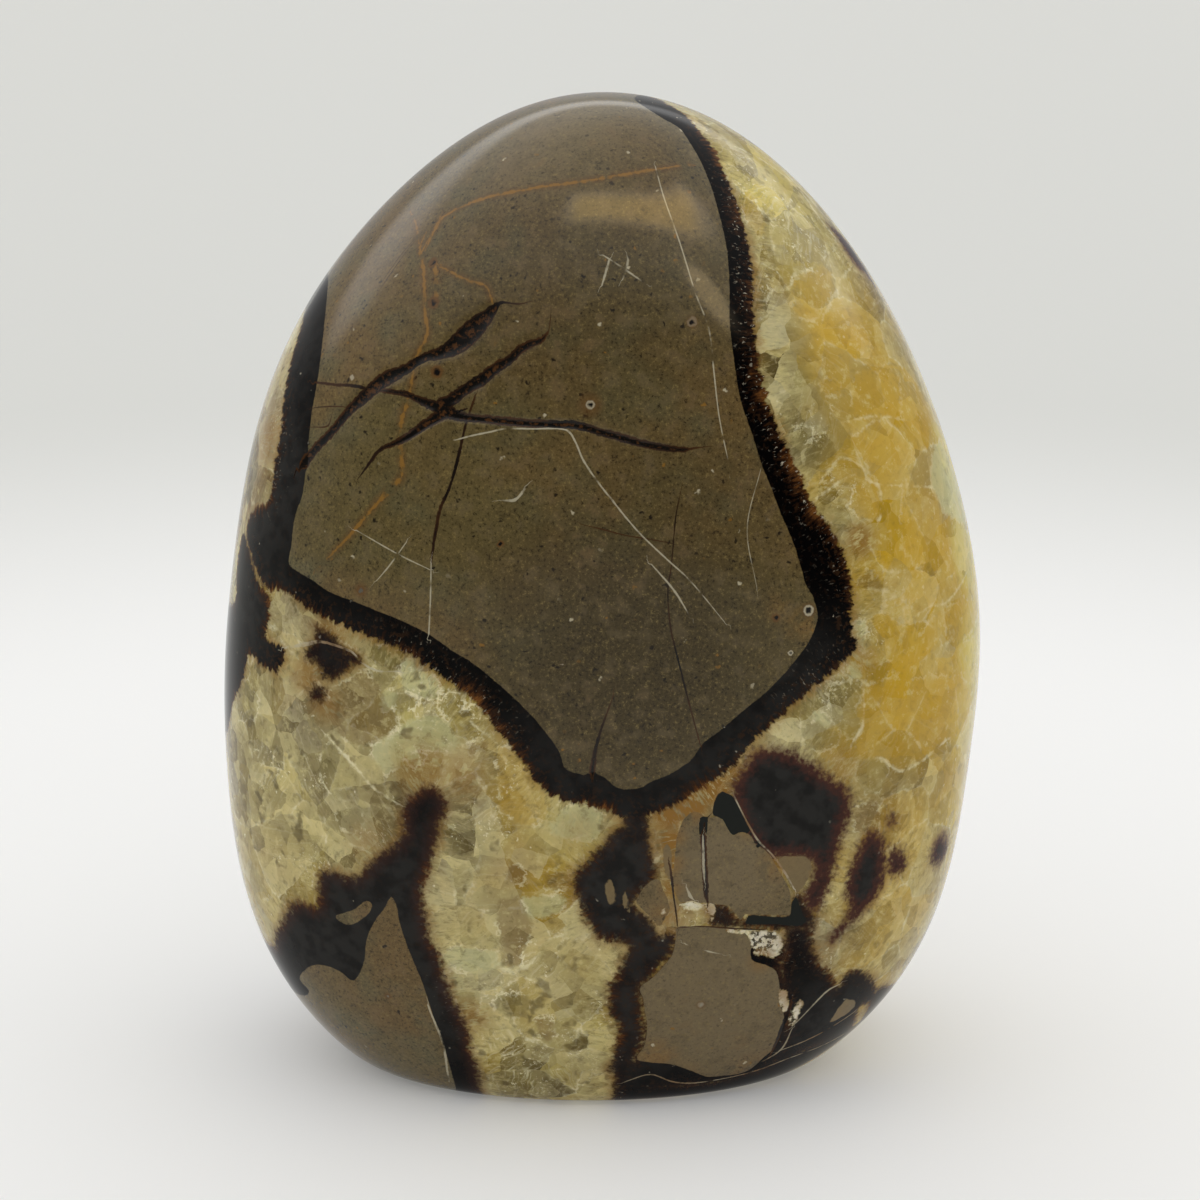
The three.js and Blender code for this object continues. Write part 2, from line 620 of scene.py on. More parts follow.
@dataclass(frozen=True)
class Trace:
    """A curve drawn on the skin through spots of the drawing, smooth unless it is straight."""

    route: tuple[Spot, ...]
    closed: bool = False
    straight: bool = False
    step: float = 0.35

    def samples(self, skin: Skin, widths: Sequence[float] = ()) -> Curve:
        """Lays the curve on the skin.

        Args:
            skin: The skin it is drawn on.
            widths: A width at each spot, if the curve has any.

        Returns:
            Its points, normals, run lengths and widths.
        """
        knots = [skin.find(spot) for spot in self.route]
        rows = [(*knot, width) for knot, width in zip(knots, widths or [0.0] * len(knots))]
        path = np.array(rows)
        if self.closed:
            path = np.vstack([path[-1], path, path[0], path[1]])
        else:
            path = np.vstack([2 * path[0] - path[1], path, 2 * path[-1] - path[-2]])
        run = []
        for before, start, end, after in zip(path, path[1:], path[2:], path[3:]):
            run.append(self._stretch(before, start, end, after))
        if not self.closed:
            run.append(path[-2][None, :])
        smooth = np.vstack(run)
        smooth[:, 3] = np.maximum(smooth[:, 3], 0.0)
        laid = [skin.drop(Vector(row[:3])) for row in smooth]
        points = np.array([tuple(hit) for hit, _ in laid])
        normals = np.array([tuple(normal) for _, normal in laid])
        gaps = np.linalg.norm(np.diff(points, axis=0), axis=1)
        runs = np.concatenate([[0.0], np.cumsum(gaps)])
        return Curve(points, normals, runs, smooth[:, 3], self.closed)

    def _stretch(
        self, before: np.ndarray, start: np.ndarray, end: np.ndarray, after: np.ndarray
    ) -> np.ndarray:
        """One stretch of a centripetal Catmull-Rom curve, without its last point."""
        knots = [0.0]
        for first, second in ((before, start), (start, end), (end, after)):
            gap = max(float(np.linalg.norm(second[:3] - first[:3])), SHORTEST)
            knots.append(knots[-1] + math.sqrt(gap))
        length = float(np.linalg.norm(end[:3] - start[:3]))
        count = max(2, math.ceil(length / self.step))
        t = np.linspace(knots[1], knots[2], count, endpoint=False)[:, None]

        def between(a: np.ndarray, b: np.ndarray, low: float, high: float) -> np.ndarray:
            """Linear blend of two rows of points over a span of the parameter."""
            return ((high - t) * a + (t - low) * b) / (high - low)

        if self.straight:
            return between(start, end, knots[1], knots[2])
        first = between(before, start, knots[0], knots[1])
        second = between(start, end, knots[1], knots[2])
        third = between(end, after, knots[2], knots[3])
        left = between(first, second, knots[0], knots[2])
        right = between(second, third, knots[1], knots[3])
        return between(left, right, knots[1], knots[2])


def outline(*route: Spot) -> Trace:
    """A closed shape with smooth sides."""
    return Trace(route, closed=True)


def facet(*route: Spot) -> Trace:
    """A closed shape with straight sides."""
    return Trace(route, closed=True, straight=True)


class Nearness(NamedTuple):
    """How the skin's points lie to a curve."""

    chosen: np.ndarray
    distance: np.ndarray
    side: np.ndarray
    along: np.ndarray
    width: np.ndarray


class Curve(NamedTuple):
    """A curve laid on the skin."""

    points: np.ndarray
    normals: np.ndarray
    runs: np.ndarray
    widths: np.ndarray
    closed: bool

    def nearness(self, skin: Skin, reach: float) -> Nearness:
        """Measures the skin's points that lie within a reach of the curve.

        Args:
            skin: The skin.
            reach: How far from the curve's box points are still measured.

        Returns:
            Which points were measured, and their distances, sides, run lengths and widths.
        """
        low, high = self.points.min(0) - reach, self.points.max(0) + reach
        chosen = np.nonzero(((skin.points >= low) & (skin.points <= high)).all(1))[0]
        starts = self.points
        ends = np.roll(self.points, -1, axis=0)
        if not self.closed:
            starts, ends = starts[:-1], ends[:-1]
        legs = ends - starts
        parts = []
        for batch in np.array_split(chosen, len(chosen) * len(starts) // MOST_PAIRS + 1):
            parts.append(self._measure(skin.points[batch], starts, legs))
        distance, side, along, width = (np.concatenate(part) for part in zip(*parts))
        return Nearness(chosen, distance, side, along, width)

    def _measure(
        self, points: np.ndarray, starts: np.ndarray, legs: np.ndarray
    ) -> tuple[np.ndarray, np.ndarray, np.ndarray, np.ndarray]:
        """Distance, side, run length and width of each point's nearest place on the curve."""
        size = np.maximum((legs**2).sum(1), LEAST_SQUARE)
        along = points @ legs.T - (starts * legs).sum(1)
        shares = np.clip(along / size, 0.0, 1.0)
        gap = (points**2).sum(1)[:, None] - 2 * points @ starts.T + (starts**2).sum(1)
        gap = gap - 2 * shares * along + shares**2 * size
        nearest = gap.argmin(1)
        rows = np.arange(len(points))
        share = shares[rows, nearest]
        foot = starts[nearest] + legs[nearest] * share[:, None]
        offset = points - foot
        distance = np.linalg.norm(offset, axis=1)
        across = np.cross(self.normals[nearest], legs[nearest])
        side = np.where((offset * across).sum(1) >= 0.0, 1.0, -1.0)
        length = np.sqrt(size[nearest])
        following = (nearest + 1) % len(self.widths)
        width = self.widths[nearest] * (1 - share) + self.widths[following] * share
        return distance, side, self.runs[nearest] + share * length, width

    def inside(self, skin: Skin, chosen: np.ndarray) -> np.ndarray:
        """Tells which of the chosen points a closed curve goes round.

        The skin's directions from the heart are laid flat from the pole opposite the curve, where
        the curve is a plain polygon.
        """
        heart = np.array(skin.heart)
        rim = self.points - heart
        rim = rim / np.linalg.norm(rim, axis=1)[:, None]
        middle = rim.mean(0)
        middle = middle / np.linalg.norm(middle)
        aside = (0.0, 0.0, 1.0) if abs(middle[2]) < NEARLY_UPRIGHT else (1.0, 0.0, 0.0)
        first = np.cross(middle, aside)
        first = first / np.linalg.norm(first)
        second = np.cross(middle, first)

        def laid_flat(ways: np.ndarray) -> np.ndarray:
            """Directions on the plane seen from the opposite pole."""
            lift = np.maximum(1.0 + ways @ middle, TINY)
            return np.stack([ways @ first / lift, ways @ second / lift], axis=1)

        corners = laid_flat(rim)
        tests = laid_flat(skin.ways[chosen])
        found = np.zeros(len(tests), dtype=bool)
        for start, end in zip(corners, np.roll(corners, -1, axis=0)):
            rising = (start[1] > tests[:, 1]) != (end[1] > tests[:, 1])
            if not rising.any():
                continue
            slope = (end[0] - start[0]) / ((end[1] - start[1]) or 1.0e-12)
            crossing = start[0] + slope * (tests[:, 1] - start[1])
            found ^= rising & (tests[:, 0] < crossing)
        return found


class Region:
    """Several closed shapes as one field: millimetres inside the nearest edge, less outside."""

    def __init__(self, skin: Skin, reach: float, traces: Sequence[Trace]) -> None:
        """Joins closed shapes; points farther than `reach` outside count as just that far."""
        self.skin = skin
        self.reach = reach
        self.depth = np.full(len(skin.points), -reach)
        self.along = np.zeros(len(skin.points))
        for trace in traces:
            self.add(trace)

    def add(self, trace: Trace) -> None:
        """Joins one closed shape to the field."""
        near, depth = self._measure(trace)
        better = depth > self.depth[near.chosen]
        where = near.chosen[better]
        self.depth[where] = depth[better]
        self.along[where] = near.along[better]

    def cut(self, trace: Trace) -> None:
        """Takes one closed shape out of the field."""
        near, depth = self._measure(trace)
        self.depth[near.chosen] = np.minimum(self.depth[near.chosen], -depth)

    def _measure(self, trace: Trace) -> tuple[Nearness, np.ndarray]:
        """Millimetres inside one closed shape, for the points near it."""
        curve = trace.samples(self.skin)
        near = curve.nearness(self.skin, self.reach)
        inside = curve.inside(self.skin, near.chosen)
        return near, np.where(inside, near.distance, -near.distance)


class LineKind(Enum):
    """What a drawn line is."""

    CRACK = "crack"
    IRON = "iron"
    SCRATCH = "scratch"
    HEALED = "healed"


Mark = tuple[float, float, float]


class LineBook:
    """Lines of one kind, in as few layers as keep neighbours clear of each other."""

    CLEARANCE = 2.6
    FAR_ACROSS = 50.0
    NO_WIDTH = -10.0

    def __init__(self, skin: Skin, kind: LineKind) -> None:
        """Starts with no layer."""
        self.skin = skin
        self.kind = kind
        self.layers: list[list[tuple[np.ndarray, float]]] = []
        self.fields: list[np.ndarray] = []

    def add(self, marks: Sequence[Mark]) -> None:
        """Draws one line, given by spots with its half width there, in the first layer with room."""
        route = tuple((right, up) for right, up, _ in marks)
        widths = [width for _, _, width in marks]
        curve = Trace(route).samples(self.skin, widths)
        widest = max(widths)
        for number, layer in enumerate(self.layers):
            if all(self._clear(curve, widest, points, width) for points, width in layer):
                break
        else:
            number = len(self.layers)
            self.layers.append([])
            blank = (self.FAR_ACROSS, self.NO_WIDTH, 0.0)
            self.fields.append(np.tile(blank, (len(self.skin.points), 1)))
        self.layers[number].append((curve.points, widest))
        field = self.fields[number]
        reach = widest + self.CLEARANCE / 2
        near = curve.nearness(self.skin, reach)
        close = near.distance < np.minimum(reach, np.abs(field[near.chosen, 0]))
        where = near.chosen[close]
        field[where, 0] = (near.distance * near.side)[close]
        field[where, 1] = near.width[close]
        field[where, 2] = near.along[close]

    def _clear(self, curve: Curve, widest: float, points: np.ndarray, width: float) -> bool:
        """Whether a new curve keeps clear of one that is already drawn."""
        gaps = np.linalg.norm(curve.points[:, None, :] - points[None, :, :], axis=2)
        return float(gaps.min()) > self.CLEARANCE + widest + width

    def names(self) -> list[str]:
        """The attribute name of each layer."""
        return [f"{self.kind.value}_{number}" for number in range(len(self.fields))]


# ---- what is drawn ---------------------------------------------------------------------------

# Spots are millimetres right and up on the face drawing; a line's third number is its half width.

MAIN_BLOCK = outline(
    (4.4, 62.5), (7.5, 60.4), (9.9, 59.0), (11.2, 57.2), (12.5, 55.0), (13.9, 51.6), (14.9, 48.2),
    (15.8, 44.2), (16.2, 38.9), (16.2, 34.9), (16.9, 28.9), (17.6, 24.9), (18.9, 21.1), (20.2, 17.0),
    (21.6, 13.5), (22.6, 10.8), (24.2, 7.1), (25.1, 4.1), (25.8, 1.8), (26.6, 0.4), (27.2, -2.2),
    (26.2, -5.0), (24.2, -7.8), (21.2, -11.1), (18.2, -13.6), (14.9, -16.4), (12.8, -18.0), (11.5, -19.9),
    (10.0, -21.0), (8.5, -21.9), (6.2, -22.8), (5.0, -23.5), (2.2, -23.5), (0.6, -22.2), (-0.6, -21.6),
    (-1.0, -21.0), (-1.4, -21.8), (-3.1, -21.6), (-4.4, -21.0), (-5.1, -19.0), (-7.9, -15.2),
    (-11.9, -11.2), (-16.5, -7.5), (-18.1, -6.6), (-21.2, -4.4), (-25.0, -2.5), (-27.5, -1.5),
    (-31.0, -0.1), (-33.8, 1.0), (-36.0, 2.5), (-37.5, 3.4), (-38.9, 4.5), (-38.9, 5.2), (-38.6, 6.6),
    (-38.4, 8.8), (-37.9, 11.2), (-37.2, 13.1), (-36.6, 18.1), (-36.2, 22.1), (-35.1, 28.9), (-34.4, 34.9),
    (-34.0, 39.5), (-33.8, 41.6), Round(252.0, 100.0), Round(225.0, 96.0), Round(200.0, 92.0),
    Round(180.0, 97.0), Round(165.0, 108.0), Round(150.0, 117.0),
)

MAIN_BAND = outline(
    (5.0, 63.2), (8.5, 62.0), (10.9, 60.4), (12.5, 58.6), (14.2, 56.6), (15.2, 54.6), (16.2, 52.0),
    (17.2, 49.6), (17.9, 47.2), (18.8, 43.6), (19.2, 40.2), (19.2, 36.2), (19.5, 32.9), (20.0, 29.5),
    (20.9, 25.5), (22.2, 21.8), (23.6, 18.8), (25.2, 15.5), (26.6, 12.1), (28.6, 9.5), (30.2, 6.5),
    (31.4, 2.8), (31.5, -0.6), (31.6, -3.9), (32.3, -5.9), (31.0, -7.2), (29.0, -9.2), (26.6, -11.0),
    (24.2, -13.2), (21.6, -15.6), (18.9, -18.0), (16.9, -20.6), (15.2, -22.1), (12.5, -23.8), (10.0, -25.4),
    (7.5, -26.5), (5.0, -27.5), (3.1, -27.5), (1.2, -26.5), (-1.8, -25.8), (-5.1, -25.0), (-7.5, -23.4),
    (-9.1, -21.4), (-11.1, -18.6), (-13.1, -16.0), (-15.5, -13.0), (-17.9, -11.0), (-19.9, -9.6),
    (-23.2, -7.2), (-26.6, -5.6), (-29.9, -4.2), (-33.9, -2.6), (-36.6, -1.2), (-39.0, 0.8), (-41.6, 1.4),
    (-42.6, 2.8), (-43.6, 5.5), (-44.2, 8.8), (-43.2, 11.5), (-41.5, 12.5), (-40.6, 17.5), (-40.0, 20.5),
    (-39.5, 25.5), (-38.6, 30.0), (-37.4, 34.2), (-36.0, 38.4), (-34.1, 41.4), Round(254.0, 95.5),
    Round(225.0, 90.0), Round(200.0, 86.0), Round(180.0, 91.0), Round(165.0, 102.5), Round(149.0, 112.0),
)

LEFT_SEAM = outline(
    (-43.9, 6.5), (-42.8, 2.5), (-41.8, 1.2), (-41.2, 0.0), (-41.2, -1.9), (-41.8, -4.5), (-41.0, -5.2),
    (-39.5, -6.0), (-39.5, -7.5), (-40.4, -9.0), (-42.0, -8.5), (-43.5, -6.9), (-44.2, -7.8),
    (-44.6, -10.0), (-45.8, -12.8), (-46.5, -16.2), Round(266.0, 38.0), Round(262.0, 30.0),
    Round(258.0, 32.0), Round(260.0, 42.0), Round(264.0, 52.0), Round(268.0, 58.0), (-45.6, 0.0),
    (-45.3, 5.0), (-44.6, 8.5),
)

LOWER_LEFT_DARK = outline(
    (-21.5, -23.0), (-19.9, -23.9), (-19.0, -25.9), (-19.9, -28.1), (-20.5, -31.2), (-20.9, -33.5),
    (-21.9, -36.9), (-21.5, -39.9), (-20.9, -42.6), (-20.0, -44.0), (-19.1, -47.5), (-18.1, -50.0),
    (-17.1, -51.9), (-16.2, -54.0), (-15.8, -56.5), (-15.2, -58.2), (-14.7, -61.6), Round(215.0, 1.0),
    Round(222.0, 12.0), Round(234.0, 20.0), Round(248.0, 23.0), Round(261.0, 20.5), (-41.0, -43.2),
    (-40.6, -41.6), (-39.0, -38.6), (-37.8, -37.5), (-36.4, -37.9), (-35.5, -38.1), (-35.3, -35.9),
    (-35.1, -33.9), (-33.0, -33.8), (-31.9, -34.4), (-30.4, -34.2), (-28.6, -32.5), (-26.6, -30.9),
    (-24.8, -29.2), (-24.8, -26.5), (-24.2, -24.8), (-22.6, -23.6),
)

CENTRE_DARK = outline(
    (5.6, -26.0), (6.4, -30.6), (6.9, -32.8), (7.0, -35.0), (5.6, -36.5), (4.4, -37.9), (6.0, -39.6),
    (7.1, -40.9), (7.4, -41.8), (9.0, -41.5), (9.5, -42.2), (9.0, -44.1), (7.6, -45.8), (6.5, -47.2),
    (5.2, -48.4), (5.4, -50.6), (5.8, -53.4), (5.4, -55.6), (4.8, -57.6), (8.5, -58.3), (12.5, -59.5),
    (14.2, -60.0), (10.5, -61.0), (6.0, -61.4), (5.4, -62.5), (1.8, -62.4), (1.8, -60.0), (0.9, -58.5),
    (1.4, -57.5), (1.5, -55.9), (2.0, -54.4), (1.8, -52.8), (0.9, -51.5), (1.0, -50.0), (0.8, -48.5),
    (1.8, -46.8), (2.8, -45.0), (3.4, -43.4), (2.0, -42.8), (0.5, -42.8), (-0.9, -41.6), (-2.2, -39.5),
    (-2.8, -37.5), (-3.5, -35.6), (-3.1, -33.8), (-1.9, -32.8), (-0.6, -31.2), (0.6, -30.2), (1.5, -29.0),
    (2.8, -28.1), (2.8, -26.0),
)

RIGHT_BLOB = outline(
    (16.4, -23.4), (17.5, -21.2), (19.0, -19.0), (20.6, -18.5), (23.8, -18.8), (26.5, -20.2), (29.1, -22.2),
    (31.2, -24.0), (31.5, -25.6), (31.2, -27.2), (30.4, -29.4), (30.0, -31.2), (29.1, -34.8), (28.1, -37.5),
    (27.2, -38.8), (26.2, -39.0), (25.4, -37.9), (25.6, -36.2), (26.5, -34.8), (26.5, -33.1), (25.4, -32.6),
    (23.1, -32.4), (20.8, -32.4), (19.2, -31.2), (17.8, -29.2), (16.7, -26.0),
)

SECOND_BLOB = outline(
    (33.8, -29.0), (35.4, -29.8), (35.8, -31.5), (35.8, -33.5), (35.4, -35.5), (34.4, -37.5), (32.8, -39.2),
    (31.0, -41.0), (29.1, -42.9), (28.6, -42.0), (30.1, -40.4), (30.9, -38.5), (30.5, -36.5), (31.0, -34.0),
    (32.1, -31.2), (32.9, -29.8),
)

SMALL_BLOBS = (
    outline(
        (36.0, -32.2), (36.6, -31.0), (37.5, -31.0), (38.1, -31.6), (38.4, -32.8), (37.9, -34.0),
        (37.0, -34.5), (36.0, -34.0),
    ),
    outline((36.4, -26.8), (37.0, -27.5), (36.3, -28.1), (35.9, -27.4)),
    outline((42.6, -29.4), (43.5, -30.0), (43.2, -31.8), (42.2, -33.2), (41.3, -32.6), (41.7, -30.6)),
    outline(
        (29.6, 45.4), (30.9, 43.4), (32.4, 41.4), (33.1, 40.9), Round(88.0, 98.5), Round(92.0, 103.5),
        Round(86.0, 106.0),
    ),
)

LOWER_RIGHT_DARK = outline(
    (23.4, -41.0), (26.5, -41.0), (26.8, -43.1), (27.3, -44.8), (28.1, -45.6), (29.4, -46.9), (29.8, -48.1),
    (30.4, -46.9), (31.9, -46.0), (33.5, -46.5), (34.5, -48.1), (34.9, -50.2), (33.8, -52.2), (31.3, -53.8),
    (29.4, -55.0), (26.9, -56.0), (25.0, -56.8), (23.1, -57.9), (20.0, -59.0), (22.0, -56.2), (22.9, -53.2),
    (22.6, -50.2), (22.4, -47.8), (22.2, -45.8), (22.8, -43.8),
)

DARK_PATCHES = (
    outline(
        (-35.9, -3.0), (-33.6, -4.1), (-31.8, -5.9), (-30.0, -7.1), (-29.8, -8.0), (-31.0, -8.4),
        (-32.1, -9.4), (-33.6, -10.0), (-34.6, -9.8), (-35.4, -8.1), (-36.6, -7.6), (-37.1, -6.8),
        (-36.5, -5.6), (-35.6, -4.8),
    ),
    outline(
        (-36.4, -11.5), (-35.8, -10.8), (-34.8, -10.8), (-34.1, -11.2), (-34.4, -12.5), (-35.2, -13.0),
        (-36.1, -12.5),
    ),
)

WEDGE_BLOCK = outline(
    (-37.8, -50.2), (-37.5, -47.5), (-36.8, -46.2), (-35.6, -45.6), (-34.0, -45.8), (-32.4, -46.5),
    (-31.0, -47.6), (-30.2, -46.9), (-29.5, -45.2), (-29.1, -42.2), (-28.1, -40.1), (-26.9, -38.5),
    (-26.1, -37.1), (-25.5, -38.1), (-25.0, -40.5), (-24.0, -43.5), (-22.5, -47.1), (-21.6, -49.6),
    (-20.9, -51.9), (-20.0, -54.4), (-19.2, -56.9), (-18.6, -59.0), (-18.0, -61.2), Round(225.0, 1.0),
    Round(235.0, 10.0), Round(248.0, 14.0), Round(262.0, 12.0),
)

WEDGE_CHIP = outline(
    (-33.1, -39.6), (-31.9, -39.1), (-30.6, -38.6), (-29.1, -37.6), (-28.5, -38.0), (-28.8, -39.0),
    (-29.8, -39.9), (-31.0, -40.6), (-31.9, -40.5),
)

FOOT_BLOCK = outline(
    (9.5, -40.9), (12.5, -40.9), (15.6, -41.0), (18.1, -41.5), (18.8, -43.1), (19.0, -45.0), (20.6, -45.6),
    (21.9, -46.3), (22.4, -48.1), (22.3, -50.0), (22.9, -51.5), (23.0, -52.8), (22.3, -55.0), (21.5, -56.3),
    (20.3, -57.3), (19.0, -58.5), (17.8, -59.1), (15.0, -59.5), (13.5, -59.6), (11.3, -58.8), (8.8, -58.0),
    (6.3, -57.8), (4.6, -57.4), (5.6, -55.6), (5.9, -53.1), (5.6, -51.3), (5.4, -49.8), (5.0, -48.5),
    (6.5, -47.3), (8.1, -45.6), (9.0, -44.4), (9.4, -43.1), (9.5, -41.9),
)

SMALL_BLOCK = facet(
    (9.6, -29.4), (10.5, -27.3), (11.5, -26.4), (12.3, -26.5), (12.9, -27.0), (13.8, -27.3), (14.5, -27.0),
    (15.4, -27.5), (16.1, -28.9), (16.6, -29.5), (17.3, -29.1), (18.0, -29.0), (18.8, -29.4), (19.5, -30.6),
    (20.5, -31.1), (21.4, -32.1), (22.3, -33.8), (23.3, -35.3), (23.8, -36.6), (23.9, -39.4), (20.6, -39.3),
    (18.1, -39.3), (17.6, -40.1), (17.1, -39.4), (16.0, -38.1), (14.1, -38.0), (12.5, -37.9), (11.0, -37.8),
    (10.0, -37.9), (9.4, -36.6), (9.1, -34.4), (9.4, -31.9),
)

BLOCK_CHIP = facet(
    (4.4, -37.8), (5.4, -36.0), (6.5, -35.0), (7.4, -34.8), (7.9, -36.3), (8.5, -37.5), (8.8, -38.8),
    (8.1, -39.8), (7.4, -41.2), (6.9, -40.3), (6.0, -39.3), (5.1, -38.5),
)

CRUST = outline(
    (2.5, -60.0), (8.0, -60.3), (12.5, -60.2), (16.5, -59.6), (20.4, -58.3), (23.2, -57.0), (26.2, -55.7),
    (29.5, -54.2), (32.5, -52.6), (34.6, -51.0), (36.4, -49.4), Round(76.0, 10.5), Round(68.0, 5.5),
    Round(55.0, 1.2), Round(40.0, 0.3), Round(20.0, 0.3), Round(5.0, 0.3),
)

BLOCK_GAP = outline(
    (13.6, -38.0), (15.3, -37.9), (16.3, -38.3), (17.1, -39.2), (17.8, -39.9), (18.3, -39.1), (19.0, -39.1),
    (21.9, -39.3), (23.6, -39.3), (24.0, -37.6), (24.6, -36.6), (25.6, -37.4), (26.8, -39.4), (26.8, -41.0),
    (23.8, -41.4), (20.6, -41.4), (17.8, -41.2), (15.6, -41.1), (14.0, -40.8),
)

UNDER_FOOT = outline(
    (4.2, -48.6), (5.2, -50.5), (5.2, -55.5), (4.0, -57.6), (2.0, -59.5), (2.0, -62.0), (8.0, -61.2),
    (13.0, -60.8), (19.5, -59.4), (22.6, -57.6), (24.0, -55.0), (24.0, -50.0), (23.2, -46.0), (23.5, -43.0),
    (19.0, -42.5), (16.0, -43.0), (10.0, -43.0), (8.6, -44.2), (7.6, -45.8), (5.9, -47.4),
)

GLASSES = (
    facet(
        (14.0, -26.9), (14.3, -25.0), (15.0, -23.8), (16.5, -24.4), (17.5, -26.0), (18.5, -27.5),
        (19.0, -29.4), (20.3, -30.6), (21.0, -31.4), (19.6, -31.0), (18.8, -29.5), (18.0, -29.0),
        (17.3, -29.1), (16.6, -29.5), (16.1, -28.9), (15.4, -27.5), (14.5, -27.0),
    ),
    facet((12.3, -27.0), (13.5, -27.1), (13.4, -29.5), (12.4, -29.5)),
    facet(
        (18.1, -40.5), (18.5, -39.3), (21.9, -39.6), (23.8, -39.6), (23.9, -37.9), (24.4, -36.8),
        (24.9, -37.9), (25.4, -39.4), (26.0, -40.0), (25.0, -40.8), (21.9, -40.5), (19.4, -40.6),
    ),
)

SLIVERS = (
    outline((0.8, -35.0), (1.4, -35.0), (1.7, -38.1), (1.1, -38.0)),
    outline((2.9, -36.3), (3.4, -37.0), (3.7, -39.2), (3.0, -38.4)),
    facet((28.5, -53.0), (29.8, -51.0), (30.8, -49.8), (31.9, -50.1), (31.9, -50.8), (30.6, -51.9)),
    facet(
        (21.9, -32.1), (25.6, -32.0), (26.4, -32.8), (26.4, -33.8), (25.8, -35.3), (25.0, -36.3),
        (24.4, -36.6), (23.8, -35.6), (22.9, -33.8),
    ),
    facet((7.9, -30.6), (8.5, -30.4), (8.9, -31.3), (9.0, -33.8), (8.9, -35.3), (8.3, -34.8), (7.9, -32.8)),
)

POCKETS = (
    ((18.4, -41.3), (21.9, -41.5), (22.9, -43.1), (22.3, -44.4), (21.0, -44.6), (19.4, -44.1),
     (18.8, -42.5)),
    ((22.3, -48.8), (23.4, -48.9), (23.5, -51.3), (22.8, -51.5), (22.3, -50.0)),
    ((25.0, -50.0), (25.4, -50.4), (24.8, -51.9), (24.0, -53.3), (23.6, -53.0), (24.1, -51.3)),
    ((10.3, -37.8), (11.5, -37.6), (12.8, -38.0), (12.5, -38.5), (10.8, -38.4)),
    ((13.0, -37.8), (14.0, -37.9), (14.5, -39.0), (14.1, -40.0), (13.3, -39.0)),
    ((7.4, -38.9), (8.1, -38.5), (8.4, -39.0), (7.6, -39.5)),
    ((15.6, -41.0), (16.9, -41.0), (18.3, -41.4), (18.0, -41.8), (16.0, -41.6)),
    ((21.9, -43.5), (22.6, -43.3), (22.6, -44.2), (22.0, -44.5)),
)

BACK_BLOCK = outline(
    Round(150.0, 75.0), Round(170.0, 80.0), Round(190.0, 76.0), Round(212.0, 70.0), Round(222.0, 55.0),
    Round(215.0, 38.0), Round(205.0, 25.0), Round(185.0, 18.0), Round(165.0, 22.0), Round(148.0, 30.0),
    Round(140.0, 50.0),
)

BACK_BAND = outline(
    Round(146.0, 79.0), Round(170.0, 85.0), Round(191.0, 81.0), Round(216.0, 74.0), Round(228.0, 55.0),
    Round(221.0, 35.0), Round(208.0, 20.0), Round(185.0, 13.0), Round(163.0, 17.0), Round(143.0, 27.0),
    Round(134.0, 50.0),
)

MUDSTONE = (MAIN_BLOCK, WEDGE_BLOCK, WEDGE_CHIP, FOOT_BLOCK, SMALL_BLOCK, BLOCK_CHIP, BACK_BLOCK)
SEAMS = (MAIN_BAND, LEFT_SEAM, BACK_BAND)
SOFT_SEAMS = (
    (0.7, (LOWER_LEFT_DARK,)),
    (0.6, (CENTRE_DARK, LOWER_RIGHT_DARK, BLOCK_GAP, UNDER_FOOT, CRUST, *DARK_PATCHES)),
    (1.0, (RIGHT_BLOB, SECOND_BLOB, *SMALL_BLOBS)),
)

